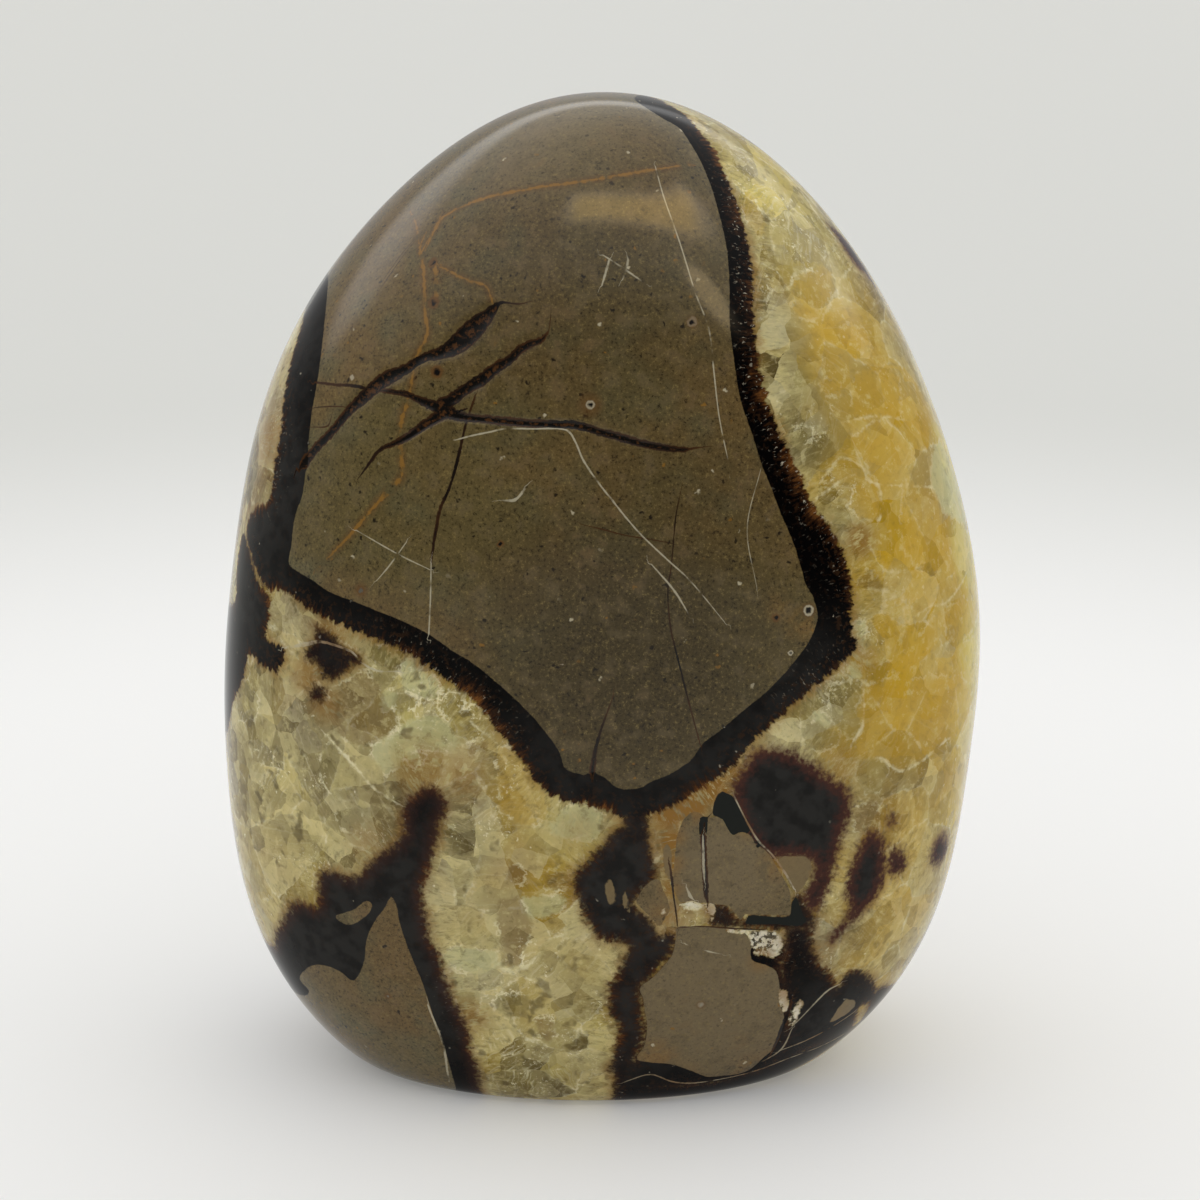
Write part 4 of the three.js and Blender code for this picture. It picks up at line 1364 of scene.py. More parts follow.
GRAINS: dict[Grain, tuple[tuple[Spot, ...], ...]] = {
    Grain.LEMON: (
        ((37.6, 33.5), (38.0, 28.6), (39.8, 23.2), (42.1, 20.5), (43.4, 19.0), (41.6, 16.1), (42.5, 11.2),
         (44.1, 5.8), (44.9, 1.0), (43.6, -8.0), (44.6, -14.5), Round(106.0, 48.0), Round(112.0, 64.0),
         Round(108.0, 80.0), Round(98.0, 94.0)),
    ),
    Grain.OLIVE: (
        ((24.2, 21.2), (25.0, 21.9), (26.0, 21.6), (26.6, 21.1), (26.4, 20.2), (25.5, 19.5), (24.6, 20.0)),
        ((-29.2, -8.5), (-27.9, -9.0), (-26.2, -9.8), (-25.2, -10.0), (-25.4, -11.0), (-26.5, -11.0),
         (-27.8, -10.2), (-28.8, -9.5)),
        ((-25.9, -12.2), (-25.0, -11.5), (-24.0, -11.8), (-22.5, -12.5), (-23.2, -13.5), (-24.5, -14.0),
         (-25.8, -14.0)),
        ((-20.0, -12.5), (-18.8, -11.5), (-17.2, -11.8), (-16.9, -12.8), (-17.5, -14.0), (-18.4, -15.2),
         (-19.4, -14.4), (-20.2, -13.5)),
        ((-24.2, -19.4), (-23.0, -18.9), (-21.8, -19.2), (-22.0, -20.2), (-23.2, -20.9), (-24.0, -20.2)),
        ((-33.1, -26.9), (-31.9, -26.0), (-30.2, -26.2), (-29.6, -27.5), (-30.2, -28.5), (-31.2, -29.0),
         (-32.5, -28.5)),
        ((-13.5, -50.4), (-12.5, -49.4), (-10.6, -49.1), (-8.8, -49.8), (-8.8, -51.0), (-9.8, -52.1),
         (-11.5, -52.2), (-13.0, -51.2)),
        ((25.1, -16.2), (26.0, -15.5), (27.2, -15.1), (28.2, -15.9), (29.8, -16.6), (30.2, -17.5),
         (29.0, -18.6), (27.5, -18.8), (25.8, -18.5), (25.4, -17.5)),
    ),
    Grain.BROWN: (
        ((-33.8, -11.2), (-32.9, -10.5), (-31.2, -10.0), (-30.2, -9.0), (-29.2, -8.8), (-27.9, -10.0),
         (-27.1, -11.9), (-26.9, -13.1), (-25.9, -14.0), (-25.2, -14.8), (-25.2, -16.0), (-26.5, -16.9),
         (-28.1, -17.8), (-29.8, -18.2), (-31.2, -17.8), (-32.5, -16.9), (-33.5, -15.2), (-34.0, -13.5)),
        ((-8.1, -52.5), (-6.5, -51.9), (-5.9, -52.8), (-5.6, -54.4), (-6.5, -55.2), (-7.5, -54.4)),
        ((31.6, -26.5), (32.8, -25.6), (33.8, -25.0), (34.8, -26.0), (35.0, -27.5), (34.8, -29.4),
         (33.5, -29.8), (31.9, -28.8)),
        ((-12.5, -37.5), (-10.0, -36.9), (-9.0, -39.4), (-8.5, -40.6), (-8.8, -42.5), (-9.6, -43.8),
         (-10.0, -45.6), (-11.2, -46.0), (-12.5, -45.0), (-12.5, -41.9), (-12.9, -39.8)),
        ((-11.6, -33.5), (-10.2, -33.2), (-9.4, -34.2), (-9.6, -35.6), (-10.8, -35.6), (-11.5, -34.8)),
        ((-6.9, -34.2), (-5.0, -33.8), (-3.4, -34.2), (-3.6, -35.8), (-5.0, -36.2), (-6.8, -36.0)),
        ((33.2, 3.5), (34.0, 3.6), (34.8, 2.8), (35.4, 1.5), (34.8, 1.2), (33.2, 1.2), (32.2, 1.8),
         (32.5, 2.8)),
        ((-16.8, -18.1), (-15.2, -17.6), (-13.9, -17.9), (-14.5, -18.9), (-16.2, -19.3)),
    ),
    Grain.GOLD: (
        ((24.0, 39.4), (25.0, 40.6), (26.6, 41.1), (27.8, 41.8), (28.8, 41.0), (29.0, 39.4), (28.8, 37.9),
         (27.8, 36.9), (27.2, 35.2), (26.0, 35.0), (24.6, 35.5), (24.0, 36.8), (24.5, 37.8), (25.6, 38.1),
         (25.0, 38.8)),
        ((29.8, 33.8), (31.2, 34.6), (33.2, 33.8), (33.8, 31.9), (32.8, 31.2), (31.0, 31.5), (30.0, 32.2)),
        ((31.6, 27.5), (32.5, 28.5), (35.0, 29.0), (37.4, 27.8), (37.5, 25.6), (37.6, 23.1), (36.2, 22.8),
         (35.0, 23.2), (32.8, 22.9), (31.9, 23.2), (31.5, 25.0)),
        ((27.2, 27.2), (28.8, 27.8), (30.2, 26.9), (29.8, 25.6), (28.1, 25.5)),
        ((33.5, 16.0), (34.5, 15.0), (34.8, 13.8), (34.9, 11.9), (34.8, 10.4), (33.1, 10.0), (31.5, 11.2),
         (31.0, 11.9), (31.9, 13.8), (32.5, 15.0)),
        ((37.9, 14.0), (40.0, 14.4), (41.9, 13.8), (42.2, 12.5), (42.5, 10.6), (43.2, 8.1), (44.0, 5.4),
         (43.8, 3.8), (41.9, 3.5), (39.4, 4.4), (38.1, 6.2), (37.5, 10.0)),
        ((35.6, -8.5), (37.5, -9.1), (39.4, -8.5), (41.2, -6.9), (43.1, -5.2), (45.0, -5.0), (46.5, -3.8),
         (47.2, -1.5), (47.1, 0.0), (45.6, 0.0), (43.8, -0.6), (41.9, -1.9), (40.6, -3.5), (39.4, -5.6),
         (37.5, -6.9), (36.2, -7.8)),
        ((18.0, 50.8), (18.5, 51.2), (19.4, 50.2), (20.0, 48.5), (20.6, 47.2), (20.4, 45.6), (19.5, 45.5),
         (18.5, 46.9), (17.9, 48.5)),
        ((-13.1, -18.8), (-11.9, -18.1), (-10.0, -19.0), (-8.8, -20.6), (-7.8, -22.5), (-6.9, -24.4),
         (-6.2, -25.6), (-6.9, -27.5), (-7.8, -28.1), (-10.0, -28.1), (-12.5, -26.2), (-12.5, -23.8),
         (-12.9, -21.2)),
        ((32.0, -13.5), (33.5, -10.5), (36.5, -9.8), (41.0, -9.8), (45.0, -9.2), (46.5, -12.5),
         (45.5, -16.5), (43.0, -17.6), (40.5, -19.8), (37.6, -21.2), (36.4, -20.7), (35.2, -19.6),
         (32.4, -19.8), (31.6, -18.0), (32.8, -16.0)),
    ),
    Grain.MINT: (
        ((-28.4, -18.1), (-26.9, -17.2), (-25.2, -16.2), (-24.0, -15.0), (-22.5, -14.8), (-20.6, -14.4),
         (-19.0, -15.2), (-18.1, -16.9), (-17.2, -17.8), (-18.1, -18.8), (-20.0, -19.0), (-22.5, -18.8),
         (-24.4, -19.0), (-25.0, -20.6), (-26.9, -21.9), (-27.8, -20.6), (-28.5, -19.4)),
        ((-25.0, -7.8), (-23.8, -7.2), (-22.8, -8.8), (-21.2, -9.4), (-20.2, -10.2), (-19.6, -11.5),
         (-21.0, -12.2), (-22.5, -12.2), (-24.0, -11.5), (-24.8, -10.8)),
        ((-27.1, -11.2), (-25.6, -11.5), (-25.2, -12.2), (-26.0, -13.5), (-26.9, -14.0), (-27.5, -13.2)),
        ((-19.6, -44.4), (-18.5, -43.2), (-16.2, -43.6), (-12.8, -44.0), (-12.5, -45.6), (-13.8, -46.5),
         (-15.6, -46.9), (-17.5, -46.2), (-19.0, -45.6)),
        ((41.9, 19.1), (42.5, 20.0), (43.2, 18.5), (44.0, 16.5), (44.8, 14.4), (45.4, 12.2), (45.9, 9.8),
         (45.0, 9.8), (44.0, 10.4), (42.8, 11.2), (42.4, 12.5), (41.5, 14.0), (41.4, 16.2), (41.6, 18.1)),
        ((26.6, -14.0), (28.1, -14.0), (28.8, -15.2), (28.5, -16.0), (27.5, -15.5), (26.6, -14.8)),
        ((31.2, -7.6), (32.2, -8.0), (32.8, -9.0), (32.6, -9.8), (31.5, -10.0), (31.1, -9.5)),
        ((31.5, -2.8), (32.8, -2.5), (33.5, -3.8), (32.8, -5.0), (33.1, -6.9), (32.2, -6.2), (31.6, -4.4)),
        ((-4.6, -26.2), (-3.1, -25.2), (-1.0, -25.8), (0.4, -27.0), (0.0, -29.0), (-1.2, -30.2),
         (-3.5, -29.8), (-5.5, -29.4), (-6.5, -28.6)),
        ((-10.0, -37.1), (-5.0, -36.9), (-4.2, -37.5), (-5.0, -39.0), (-6.5, -39.6), (-8.8, -39.8),
         (-9.6, -38.8)),
    ),
    Grain.CHALK: POCKETS,
    Grain.MOSS: (
        ((28.5, -10.8), (31.2, -10.0), (32.6, -10.0), (32.8, -12.5), (32.8, -15.6), (31.9, -17.5),
         (31.0, -17.2), (30.2, -16.2), (29.0, -15.2), (28.8, -13.1), (28.4, -11.6)),
        ((-33.8, -18.1), (-31.9, -19.4), (-31.0, -21.0), (-30.2, -21.9), (-30.6, -23.8), (-31.9, -25.0),
         (-33.4, -24.4), (-34.4, -23.1), (-35.2, -21.2), (-34.8, -19.6)),
        ((-18.1, -15.2), (-17.1, -14.0), (-15.6, -13.1), (-14.4, -14.0), (-13.1, -15.6), (-12.5, -17.2),
         (-13.8, -17.5), (-15.2, -17.2), (-16.6, -17.8), (-17.8, -16.9)),
        ((-19.4, -46.6), (-17.5, -46.6), (-15.6, -47.2), (-15.0, -49.4), (-15.4, -51.6), (-17.2, -52.0),
         (-18.2, -49.8)),
        ((25.2, -14.4), (26.0, -14.1), (26.6, -15.0), (25.9, -15.9), (25.2, -16.0)),
        ((32.2, -20.2), (35.4, -19.9), (36.2, -21.2), (35.0, -24.0), (33.2, -24.4), (32.0, -22.5)),
        ((-45.6, -10.0), (-44.0, -10.0), (-42.5, -12.5), (-43.2, -15.0), (-45.2, -15.0)),
        ((-29.2, -7.0), (-28.8, -6.0), (-26.9, -5.6), (-25.6, -6.5), (-25.0, -7.8), (-25.2, -9.0),
         (-26.5, -9.0), (-28.1, -8.1)),
    ),
}


# ---- finishes --------------------------------------------------------------------------------


# How many lumps of each shared noise lie on a millimetre.
ROUGH_LUMPS = 1.6
WORN_LUMPS = 0.5
PATCH_LUMPS = 0.15
FIBRES = 2.4
SPECKS = 0.62


class Weather(NamedTuple):
    """The noises that several finishes share."""

    here: Place
    rough: Reading
    worn: Reading
    patch: Reading
    fibre: Reading
    speck: Reading
    luck: Reading

    @staticmethod
    def over(board: Board, here: Place, seam: Reading, along: Reading) -> Weather:
        """Sets the noises up.

        Args:
            board: The material's board.
            here: The place on the stone, in millimetres.
            seam: Millimetres inside the nearest seam, less outside.
            along: Run length along that seam's edge.

        Returns:
            The noises.
        """
        scattered = board.drift(here, ROUGH_LUMPS, 0.9, 1.0)
        specks = board.node("ShaderNodeTexVoronoi", sockets={"Vector": scattered, "Scale": SPECKS})
        return Weather(
            here=here,
            rough=board.cloud(here, ROUGH_LUMPS, 3.0, 0.6) - 0.5,
            worn=board.cloud(here, WORN_LUMPS, 3.0),
            patch=board.cloud(here, PATCH_LUMPS, 2.0),
            fibre=board.cloud(board.joined(along, seam * 0.25), FIBRES, 3.0, 0.65),
            speck=Reading(board, specks.outputs["Distance"]),
            luck=Place(board, specks.outputs["Color"]).parts()[0],
        )


@dataclass(frozen=True)
class LineFinish:
    """Cracks, iron veins, scratches and pits, laid over whatever is under them."""

    crack: str = "0C0906"
    crack_heart: str = "4A2E16"
    iron: str = "8B652D"
    stain: str = "624423"
    scratch: str = "BDB499"
    dirt: str = "8A6238"
    ragged: float = 1.6

    def edge(self, board: Board, weather: Weather, names: Sequence[str]) -> Reading:
        """Millimetres inside the edge of the nearest of some drawn lines, less outside."""
        inside: Number = -9.0
        for name in names:
            across, width, _ = board.place(name).parts()
            loose = weather.rough * width.at_least(0.0).at_most(0.3) * self.ragged
            inside = (width - abs(across) + loose).at_least(inside)
        return inside

    def rusty(self, board: Board, weather: Weather, edge: Reading) -> Tint:
        """The inside of the cracks, rusty where they are wide."""
        rust = weather.rough.rise(-0.02, 0.14) * edge.rise(0.15, 0.6)
        rust = rust.at_least(edge.fall(0.08, 0.32) * weather.patch.rise(0.3, 0.6) * 0.8)
        return board.blended(self.crack, self.crack_heart, rust)

    def veined(self, weather: Weather, edge: Reading, paint: Tint) -> Tint:
        """Iron veins with their stain."""
        worn = weather.worn.rise(0.34, 0.5)
        vein = (edge + weather.rough * 0.6).rise(-0.12, 0.06) * worn
        return paint.coated((self.stain, edge.rise(-0.8, 0.0) * worn * 0.45), (self.iron, vein * 0.85))

    def pitted(self, board: Board, weather: Weather, paint: Tint) -> Tint:
        """Pits with their rims and stains."""
        heart, rim, stain = board.place("pit_look").parts()
        gap = board.reading("pit") + weather.rough * 0.5
        return paint.coated(
            (self.stain, (gap / stain).fall(0.3, 1.0) * 0.6),
            (board.blended(self.stain, self.scratch, rim), gap.fall(0.9, 1.25) * 0.75),
            (board.blended(self.crack, self.scratch, heart), gap.fall(0.5, 0.85)),
        )


@dataclass(frozen=True)
class MudstoneFinish:
    """Olive-brown mudstone, polished, with speckle and rusty clouds, painted shade over the main block and
    foot, and painted sheen at the crown.
    """

    body: str = "625533"
    warm: str = "6A5532"
    cool: str = "5C583E"
    # Colour of the painted shade, and of a random darker tone.
    deep: str = "433820"
    # Colour of the lighter blocks, of the painted sheen at the crown, and of a random lighter tone.
    fair: str = "726347"
    speck: str = "17120B"
    nick: str = "B9AE90"
    grit: str = "94804E"
    rust: str = "6E4A22"
    ochre: str = "8A6226"
    stains: float = 0.06
    grains: float = 2.3

    def colour(self, board: Board, weather: Weather) -> Tint:
        """The mudstone's colour, specks included."""
        worn, luck = weather.worn, weather.luck
        stain = board.cloud(weather.here, self.stains, 2.0)
        grain = board.cloud(weather.here, self.grains, 3.0, 0.85)
        ochre = board.reading(Zone.RUSTY) * worn.rise(0.3, 0.6) * 0.6
        quiet = 1.0 - board.level(Zone.FAIR) * 0.6
        spot = weather.speck.fall(0.08, 0.2)
        rusted = spot * luck.rise(0.42, 0.45) * luck.fall(0.5, 0.55)
        return board.blended(self.body, self.warm, stain.rise(0.35, 0.65)).coated(
            (self.cool, weather.patch.rise(0.45, 0.7) * 0.6),
            # Painted shade over the main block and along the foot.
            (self.deep, board.reading(Zone.DEEP)),
            # Lighter lower blocks, and painted sheen at the crown.
            (self.fair, board.reading(Zone.FAIR)),
            (self.rust, worn.rise(0.56, 0.72) * stain.rise(0.45, 0.6) * 0.25),
            (self.ochre, ochre.at_most(1.0)),
            (self.speck, grain.fall(0.33, 0.47) * quiet * 0.8),
            (self.grit, grain.rise(0.53, 0.7) * 0.5),
            (self.deep, worn.fall(0.32, 0.5) * 0.25),
            (self.fair, worn.rise(0.5, 0.68) * 0.3),
            (self.speck, spot * quiet * luck.rise(0.55, 0.6) * 0.9),
            (self.ochre, rusted * 0.8),
            (self.nick, spot * luck.fall(0.04, 0.07) * 0.9),
        )


@dataclass(frozen=True)
class SeamFinish:
    """Near-black seam with a brown fibrous fringe, a painted grey sheen in places, and painted glints as
    pale ticks across it.
    """

    core: str = "030202"
    # Grey of the painted sheen on the seams.
    slate: str = "2B2A28"
    fringe: str = "2E1A0C"
    tip: str = "734820"
    mottle: str = "3B2615"
    purple: str = "4A2C24"
    # Colour of the painted crystal glints.
    tick: str = "C3BAA4"

    def colour(
        self, board: Board, weather: Weather, depth: Reading, along: Reading, soft: Reading
    ) -> Tint:
        """The seam's colour.

        Args:
            board: The material's board.
            weather: The shared noises.
            depth: Millimetres inside the seam's edge.
            along: Run length along that edge.
            soft: 1 on the rounded blobs, 0 on the bands.

        Returns:
            The colour.
        """
        rough, worn, patch, luck = weather.rough, weather.worn, weather.patch, weather.luck
        glint_level = board.reading(Zone.TICKS)
        # Painted sheen: the seam's core greyer where it reflects light.
        heart = board.blended(self.core, self.slate, board.reading(Zone.SLATE))
        heart = heart.toward(self.core, worn.fall(0.35, 0.6) * 0.5)
        inner = depth * (1.0 - glint_level * 0.3) + (weather.fibre - 0.5) * 4.5 + (patch - 0.45) * 3.5
        outer = depth.fall(1.2, 3.2)
        bloom = board.blended(self.purple, heart, (depth + rough * 3.0).rise(0.4, 2.4))
        across = board.joined(along * 3.0 + rough * 2.5, depth * 1.1 + worn * 2.0)
        # Painted glints: pale ticks and sparkles of light across the seam.
        dashes = board.cloud(across, 1.2, 2.0).rise(0.6, 0.7) * glint_level
        dashes = dashes * rough.rise(-0.08, 0.06) * (0.2 + outer * 0.8)
        star = weather.speck.fall(0.05, 0.13) * luck.rise(0.5, 0.54)
        sparkle = dashes.at_least(star * patch.rise(0.42, 0.6) * 0.7) * (1.0 - soft * 0.6)
        return board.blended(self.tip, self.fringe, inner.rise(-0.9, 0.7)).coated(
            (heart, inner.rise(0.1, 1.5)),
            (self.mottle, rough.rise(0.02, 0.12) * (0.1 + outer * 0.4)),
            (bloom, soft.rise(0.5, 1.0)),
            (self.tick, (sparkle * 0.85).at_most(1.0)),
        )


@dataclass(frozen=True)
class CalciteFinish:
    """Honey, cream and amber calcite in interlocked grains, with painted shading across each grain and
    painted glow at the right rim.
    """

    base: str = "A0862F"
    zones: tuple[tuple[Zone, str], ...] = (
        (Zone.AMBER, "C69E0C"),
        (Zone.MILK, "CBBE72"),
        (Zone.TAN, "86652F"),
        (Zone.SMOKE, "7C713C"),
        # Bright yellow of the rim: its tone with painted glow.
        (Zone.RIND, "DFC93A"),
    )
    grains: tuple[tuple[Grain, str, float], ...] = (
        (Grain.MOSS, "8C8048", 0.35),
        (Grain.MINT, "C6C694", 0.55),
        (Grain.GOLD, "C9A026", 0.3),
        (Grain.BROWN, "735727", 0.5),
        (Grain.OLIVE, "6A5E2C", 0.4),
        (Grain.CHALK, "E8E2CE", 0.95),
    )
    # Pale yellow of the rim grain, with painted glow of light through it.
    lemon: str = "D8C450"
    dark: str = "56471C"
    pale: str = "DED094"
    healed: str = "EFE7BE"
    rust: str = "8E6620"
    hollow: str = "1A1510"
    large_grains: float = 0.12
    small_grains: float = 0.31

    def colour(self, board: Board, weather: Weather, seam: Reading, healed: Sequence[str]) -> Tint:
        """The calcite's colour.

        Args:
            board: The material's board.
            weather: The shared noises.
            seam: Millimetres inside the nearest seam, less outside.
            healed: Attribute names of the healed lines.

        Returns:
            The colour.
        """
        torn = board.drift(weather.here, 0.4, 1.3, 2.0)
        drift = board.cloud(torn, 0.1, 3.0)
        amber, smoke = board.level(Zone.AMBER), board.level(Zone.SMOKE)
        calm = 1.0 - amber * 0.65
        paint = board.blended(self.base, self.base, 0.0)
        for zone, code in self.zones:
            shown = board.reading(zone) * (0.6 + drift * 0.9)
            paint = paint.toward(code, shown.at_most(1.0))
        # Painted glow of light through the right rim, over the real rim grain.
        lemon = (board.reading(Grain.LEMON) + weather.rough).rise(-0.15, 0.15)
        paint = paint.toward(self.lemon, lemon * board.level(Zone.RIND))
        combed = (0.3 + board.level(Zone.FROST) * 0.7) * (1.0 - amber * 0.6)
        paint = self._faceted(board, torn, paint, self.large_grains, calm * 0.75, combed)
        paint = self._faceted(board, torn, paint, self.small_grains, calm * 0.45 + smoke * 0.5)
        shown = weather.worn.rise(0.4, 0.6) * weather.patch.rise(0.36, 0.56)
        paint = self._edged(board, weather, torn, paint, shown * (1.0 - amber * 0.4))
        paint = self._grained(board, weather, paint)
        paint = self._clouded(board, weather, torn, paint, calm)
        for name in healed:
            across, width, _ = board.place(name).parts()
            edge = width - abs(across) + weather.rough * 0.9
            shown = edge.rise(-0.2, 0.2) * weather.worn.rise(0.36, 0.56) * (0.7 - amber * 0.4)
            paint = paint.toward(self.healed, shown)
        return self._fringed(board, weather, seam, paint)

    def _faceted(
        self, board: Board, torn: Place, paint: Tint, per_mm: float, depth: Reading, *combs: Reading
    ) -> Tint:
        """Undrawn grains: each has its own tone, painted shading that leans from light on one side to dark
        on the other, and maybe fine fibres.
        """
        grains = board.node("ShaderNodeTexVoronoi", sockets={"Vector": torn, "Scale": per_mm})
        chance = Place(board, grains.outputs["Color"])
        first, second, third = chance.parts()
        offset = (torn - Place(board, grains.outputs["Position"])).scaled(per_mm)
        # Painted shading: each grain lighter on one side and darker on the other.
        lean = offset.dot((chance - (0.5, 0.5, 0.5)).unit())
        paint = paint.coated(
            (self.dark, (first.rise(0.4, 1.0) + lean.rise(0.0, 0.8) * 0.6) * depth),
            (self.pale, (second.rise(0.4, 1.0) * 0.7 + lean.fall(-0.8, 0.0) * 0.5) * depth),
            (self.healed, third.rise(0.75, 0.9) * depth * 0.3),
        )
        for combed in combs:
            fibres = board.joined(lean * 20.0 + first * 90.0, torn.parts()[2] * 0.3)
            comb = board.cloud(fibres, 1.0, 2.0, 0.6)
            paint = paint.coated(
                (self.dark, comb.fall(0.3, 0.47) * combed * 0.35),
                (self.healed, comb.rise(0.52, 0.68) * combed * 0.55),
            )
        return paint

    def _edged(
        self, board: Board, weather: Weather, torn: Place, paint: Tint, shown: Reading
    ) -> Tint:
        """Pale veils and frosty lines along the borders of the large grains, where they show."""
        sockets = {"Vector": torn, "Scale": self.large_grains}
        edges = board.node("ShaderNodeTexVoronoi", {"feature": "DISTANCE_TO_EDGE"}, sockets)
        gap = Reading(board, edges.outputs["Distance"]) / self.large_grains
        paint = paint.toward(self.pale, gap.fall(0.0, 1.4) * shown * 0.25)
        return paint.toward(self.healed, (gap + weather.rough * 1.2).fall(-0.05, 0.24) * shown * 0.6)

    def _grained(self, board: Board, weather: Weather, paint: Tint) -> Tint:
        """The grains that are drawn, each with a pale feathery border in places."""
        jagged = weather.rough * 1.8
        feathered = 0.5 + board.level(Zone.FROST) * 0.5 - board.level(Zone.AMBER) * 0.35
        feathery = weather.worn.rise(0.46, 0.58) * feathered
        shade = 0.5 + weather.patch * 0.5 + weather.worn * 0.45
        for grain, code, strength in self.grains:
            edge = board.reading(grain) + jagged
            paint = paint.coated(
                (code, (edge.rise(-0.3, 0.3) * shade * strength).at_most(1.0)),
                (self.healed, abs(edge + 0.1).fall(0.02, 0.3) * feathery),
            )
        chalky = board.reading(Grain.CHALK).rise(-0.1, 0.15)
        holes = (weather.rough + weather.worn - 0.5).fall(-0.15, -0.05)
        return paint.toward(self.hollow, chalky * holes * 0.95)

    def _clouded(
        self, board: Board, weather: Weather, torn: Place, paint: Tint, calm: Reading
    ) -> Tint:
        """Fine clouds, sugary frost, dark crevices and bright flecks."""
        worn, elsewhere = weather.worn, torn + (9.0, 3.0, 1.0)
        fine = board.cloud(weather.here, 0.8, 3.0, 0.7)
        frosty = board.cloud(elsewhere, 0.1, 1.0).rise(0.52, 0.7) * calm * 0.7
        frost = board.reading(Zone.FROST).at_least(frosty)
        sugar = board.cloud(torn, 2.2, 3.0, 0.75).rise(0.54, 0.68) * worn.rise(0.44, 0.58)
        crevice = board.cloud(elsewhere, 0.3, 2.0, 0.75).fall(0.31, 0.4)
        fleck = weather.speck.fall(0.05, 0.14) * weather.luck.rise(0.8, 0.84)
        return paint.coated(
            (self.dark, fine.fall(0.3, 0.48) * (calm * 0.4)),
            (self.pale, fine.rise(0.54, 0.7) * 0.38),
            (self.healed, sugar * frost.rise(0.1, 0.6) * 0.85),
            (self.dark, crevice * (calm - 0.35).at_least(0.0)),
            (self.healed, fleck * calm * 0.8),
        )

    def _fringed(self, board: Board, weather: Weather, seam: Reading, paint: Tint) -> Tint:
        """Fibres and rust beside the seams."""
        fibre, patch = weather.fibre, weather.patch
        near = seam.rise(-8.0, -0.4) * (0.3 + patch * 0.7)
        bare = 1.0 - board.level(Zone.TAN) * 0.8
        halo = (seam + (fibre - 0.5) * 4.0).rise(-1.4, 0.3) * patch.rise(0.4, 0.65) * 0.7
        rusty = board.reading(Zone.RUSTY)
        return paint.coated(
            (self.dark, near * fibre.fall(0.3, 0.5) * 0.7),
            (self.pale, near * fibre.rise(0.52, 0.68) * bare * 0.6),
            (self.pale, (rusty * fibre.fall(0.4, 0.52) * bare * 0.5).at_most(1.0)),
            (self.rust, halo.at_least(rusty * fibre.rise(0.34, 0.52)).at_most(1.0)),
        )


